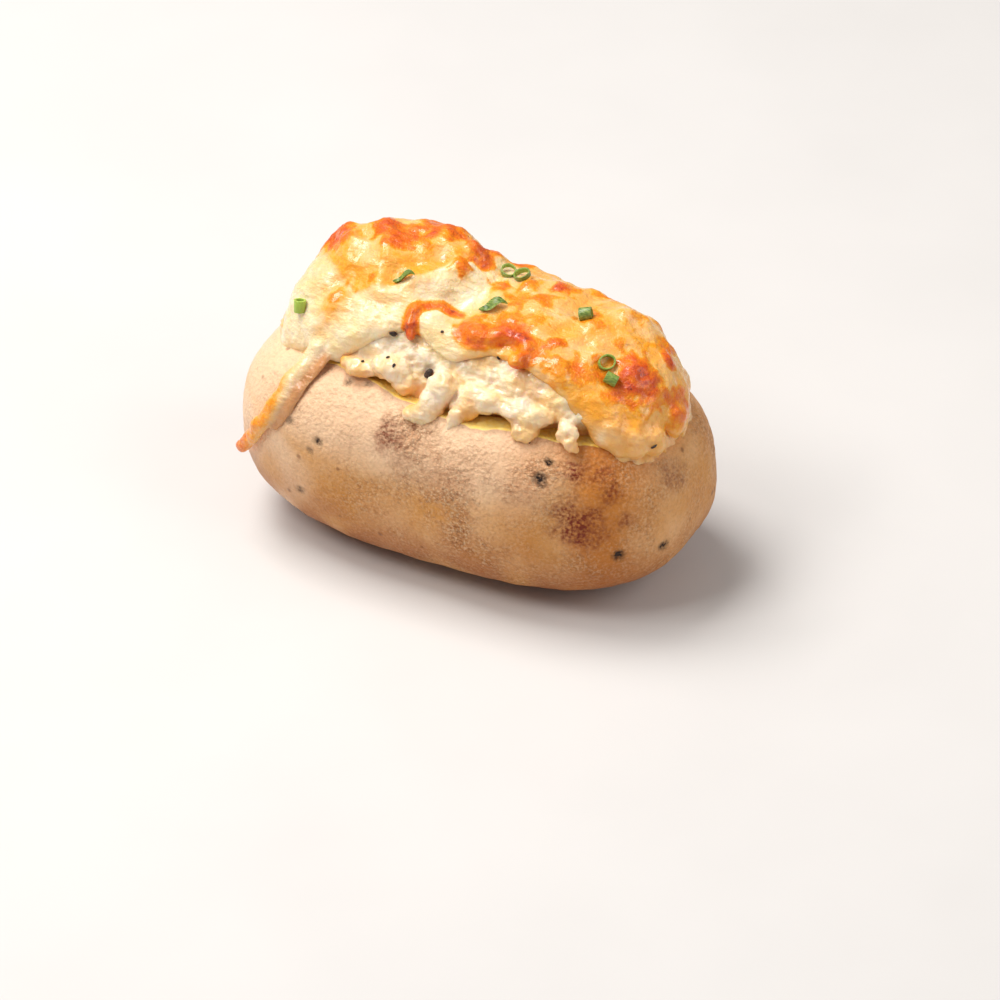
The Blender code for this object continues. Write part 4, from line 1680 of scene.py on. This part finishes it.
@dataclass
class Pepper:
    """Flakes of ground pepper: each one's place, half sizes and turn in radians."""

    seated: float = 0.5
    bump: float = 0.35
    bump_size: float = 0.45
    bump_shift: float = 3.7
    flakes: tuple[tuple[Point, Point, float], ...] = (
        ((-4.5, -16.4, 50.8), (1.35, 0.9, 0.8), 0.5), ((-14.2, -12.7, 55.7), (0.95, 0.6, 0.5), 0.2),
        ((-18.2, -10.8, 56.5), (0.8, 0.4, 0.4), 0.1), ((-11.3, -18.2, 51.5), (0.5, 0.3, 0.3), 1.2),
        ((-13.6, -16.6, 51.9), (0.45, 0.3, 0.3), 0.4),
        ((-19.6, -17.2, 49.4), (0.4, 0.25, 0.25), 0.7), ((-3.9, 3.0, 61.3), (0.4, 0.3, 0.3), 0.7),
        ((-2.8, -11.2, 58.4), (0.4, 0.3, 0.3), 0.7), ((11.0, -12.6, 56.5), (0.45, 0.3, 0.3), 2.0),
        ((44.7, 2.6, 50.8), (0.5, 0.3, 0.3), 2.0), ((46.8, -10.3, 43.3), (0.8, 0.25, 0.3), 1.2),
        ((21.6, -20.8, 44.2), (0.45, 0.3, 0.3), 0.3),
    )

    def build(self, surfaces: Sequence[BVHTree], finish: Finish) -> list[Piece]:
        """Makes the flakes.

        Args:
            surfaces: The surfaces that the flakes lie on.
            finish: Their material.

        Returns:
            The flakes, in place.
        """
        made = []
        for number, (spot, half, turn) in enumerate(self.flakes, 1):
            found = [surface.find_nearest(Vector(spot)) for surface in surfaces]
            place, facing = min(found, key=lambda hit: hit[3])[:2]
            tools = egg((0.0, 0.0, 0.0), half)
            points = np.array([vert.co for vert in tools.verts])
            points += number * self.bump_shift
            bumps = 1.0 + self.bump * lumps(points, self.bump_size, 0.0)
            for vert, bump in zip(tools.verts, bumps):
                vert.co *= bump
            lying = Matrix.Rotation(turn, 4, "Z")
            stand_on(tools, place + facing * half[2] * self.seated, facing, lying)
            thing = as_object(f"pepper_{number}", tools)
            thing.data.materials.append(finish)
            made.append(thing)
        return made


@dataclass
class Studio:
    """The floor, the lamps and the camera. A lamp has a place, a size, a power and a colour."""

    lens: float = 216.0
    sensor: float = 36.0
    clip: Spot = (0.05, 20.0)
    distance: float = 1.3483
    azimuth: float = math.radians(25.1)
    elevation: float = math.radians(37.0)
    aside: float = 0.00506
    above: float = 0.00483
    sky: Colour = (1.0, 0.99, 0.98)
    sky_strength: float = 0.23
    floor_half: float = 4000.0
    floor_drop: float = 0.05
    lamps: tuple[tuple[str, Point, float, float, Colour], ...] = (
        ("window", (-0.38, 0.06, 0.84), 0.45, 7.6, (1.0, 0.98, 0.95)),
        ("front_card", (-0.42, -0.46, 0.86), 0.4, 4.4, (1.0, 0.98, 0.95)),
        ("right_card", (0.62, 0.05, 0.5), 0.5, 1.7, (1.0, 0.98, 0.96)),
    )

    def axes(self) -> tuple[Vector, Vector, Vector]:
        """Works out how the camera is turned.

        Returns:
            The camera's right, up and back.
        """
        level = math.cos(self.elevation)
        sin_a, cos_a = math.sin(self.azimuth), math.cos(self.azimuth)
        back = Vector((sin_a * level, -cos_a * level, math.sin(self.elevation)))
        right = Vector((cos_a, sin_a, 0.0))
        return right, back.cross(right), back

    def camera(self) -> None:
        """Makes the camera at the photograph's viewing angle."""
        right, up, back = self.axes()
        data = bpy.data.cameras.new("camera")
        data.lens = self.lens
        data.sensor_width = self.sensor
        data.clip_start, data.clip_end = self.clip
        thing = in_scene("camera", data)
        place = back * self.distance + right * self.aside + up * self.above
        turn = Matrix((right, up, back)).transposed().to_4x4()
        thing.matrix_world = Matrix.Translation(place) @ turn
        bpy.context.scene.camera = thing

    def light(self) -> None:
        """Makes the lamps and the pale surroundings."""
        for name, place, size, power, colour in self.lamps:
            data = bpy.data.lights.new(name, "AREA")
            data.size = size
            data.energy = power
            data.color = colour
            thing = in_scene(name, data)
            thing.location = place
            thing.rotation_euler = Vector(place).to_track_quat("Z", "Y").to_euler()
        world = bpy.data.worlds.new("studio")
        world.use_nodes = True
        sky = world.node_tree.nodes["Background"]
        sky.inputs["Color"].default_value = (*self.sky, 1.0)
        sky.inputs["Strength"].default_value = self.sky_strength
        bpy.context.scene.world = world
        bpy.context.scene.view_settings.view_transform = "Standard"

    def floor(self, finish: Finish) -> Piece:
        """Makes the floor.

        Args:
            finish: Its material.

        Returns:
            The floor.
        """
        tools = bmesh.new()
        bmesh.ops.create_grid(tools, x_segments=4, y_segments=4, size=self.floor_half)
        bmesh.ops.translate(tools, vec=-UP * self.floor_drop, verts=tools.verts)
        thing = as_object("floor", tools)
        thing.data.materials.append(finish)
        return thing


def take(thing: Piece, slot: Slot, *nodes: str) -> None:
    """Makes a piece ride on the part's body, and reports it.

    Args:
        thing: The piece.
        slot: The record's slot that its finish comes from; not used.
        *nodes: The CAD nodes that it stands for.
    """
    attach(thing, BODY)
    if nodes:
        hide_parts(*nodes)
    thing.data.calc_loop_triangles()
    LOG.info("%s: %d triangles", thing.name, len(thing.data.loop_triangles))


def main() -> None:
    """Builds the pieces in order."""
    logging.basicConfig(level=logging.INFO, format="%(relativeCreated)d ms: %(message)s")
    Effects.build()
    studio = Studio()
    studio.camera()
    studio.light()
    studio.floor(FloorFinish().build())
    potato = Potato().build(SkinFinish().build())
    take(potato, Slot.SKIN, "potato")
    filling = Filling().build(CheeseFinish("mash", pale=paint(250, 236, 216), coat=1.0).build())
    take(filling, Slot.MASH, "mash")
    topping = Topping().build(CheeseFinish("melted_cheese").build())
    take(topping, Slot.CHEESE, "melted_cheese")
    cheese_surface = surface_of(topping)
    for thing in Greens().build(cheese_surface, GreenFinish().build()):
        take(thing, Slot.CHEESE)
    surfaces = (surface_of(filling), cheese_surface)
    for thing in Pepper().build(surfaces, PepperFinish().build()):
        take(thing, Slot.MASH)


if __name__ == "__main__":
    main()
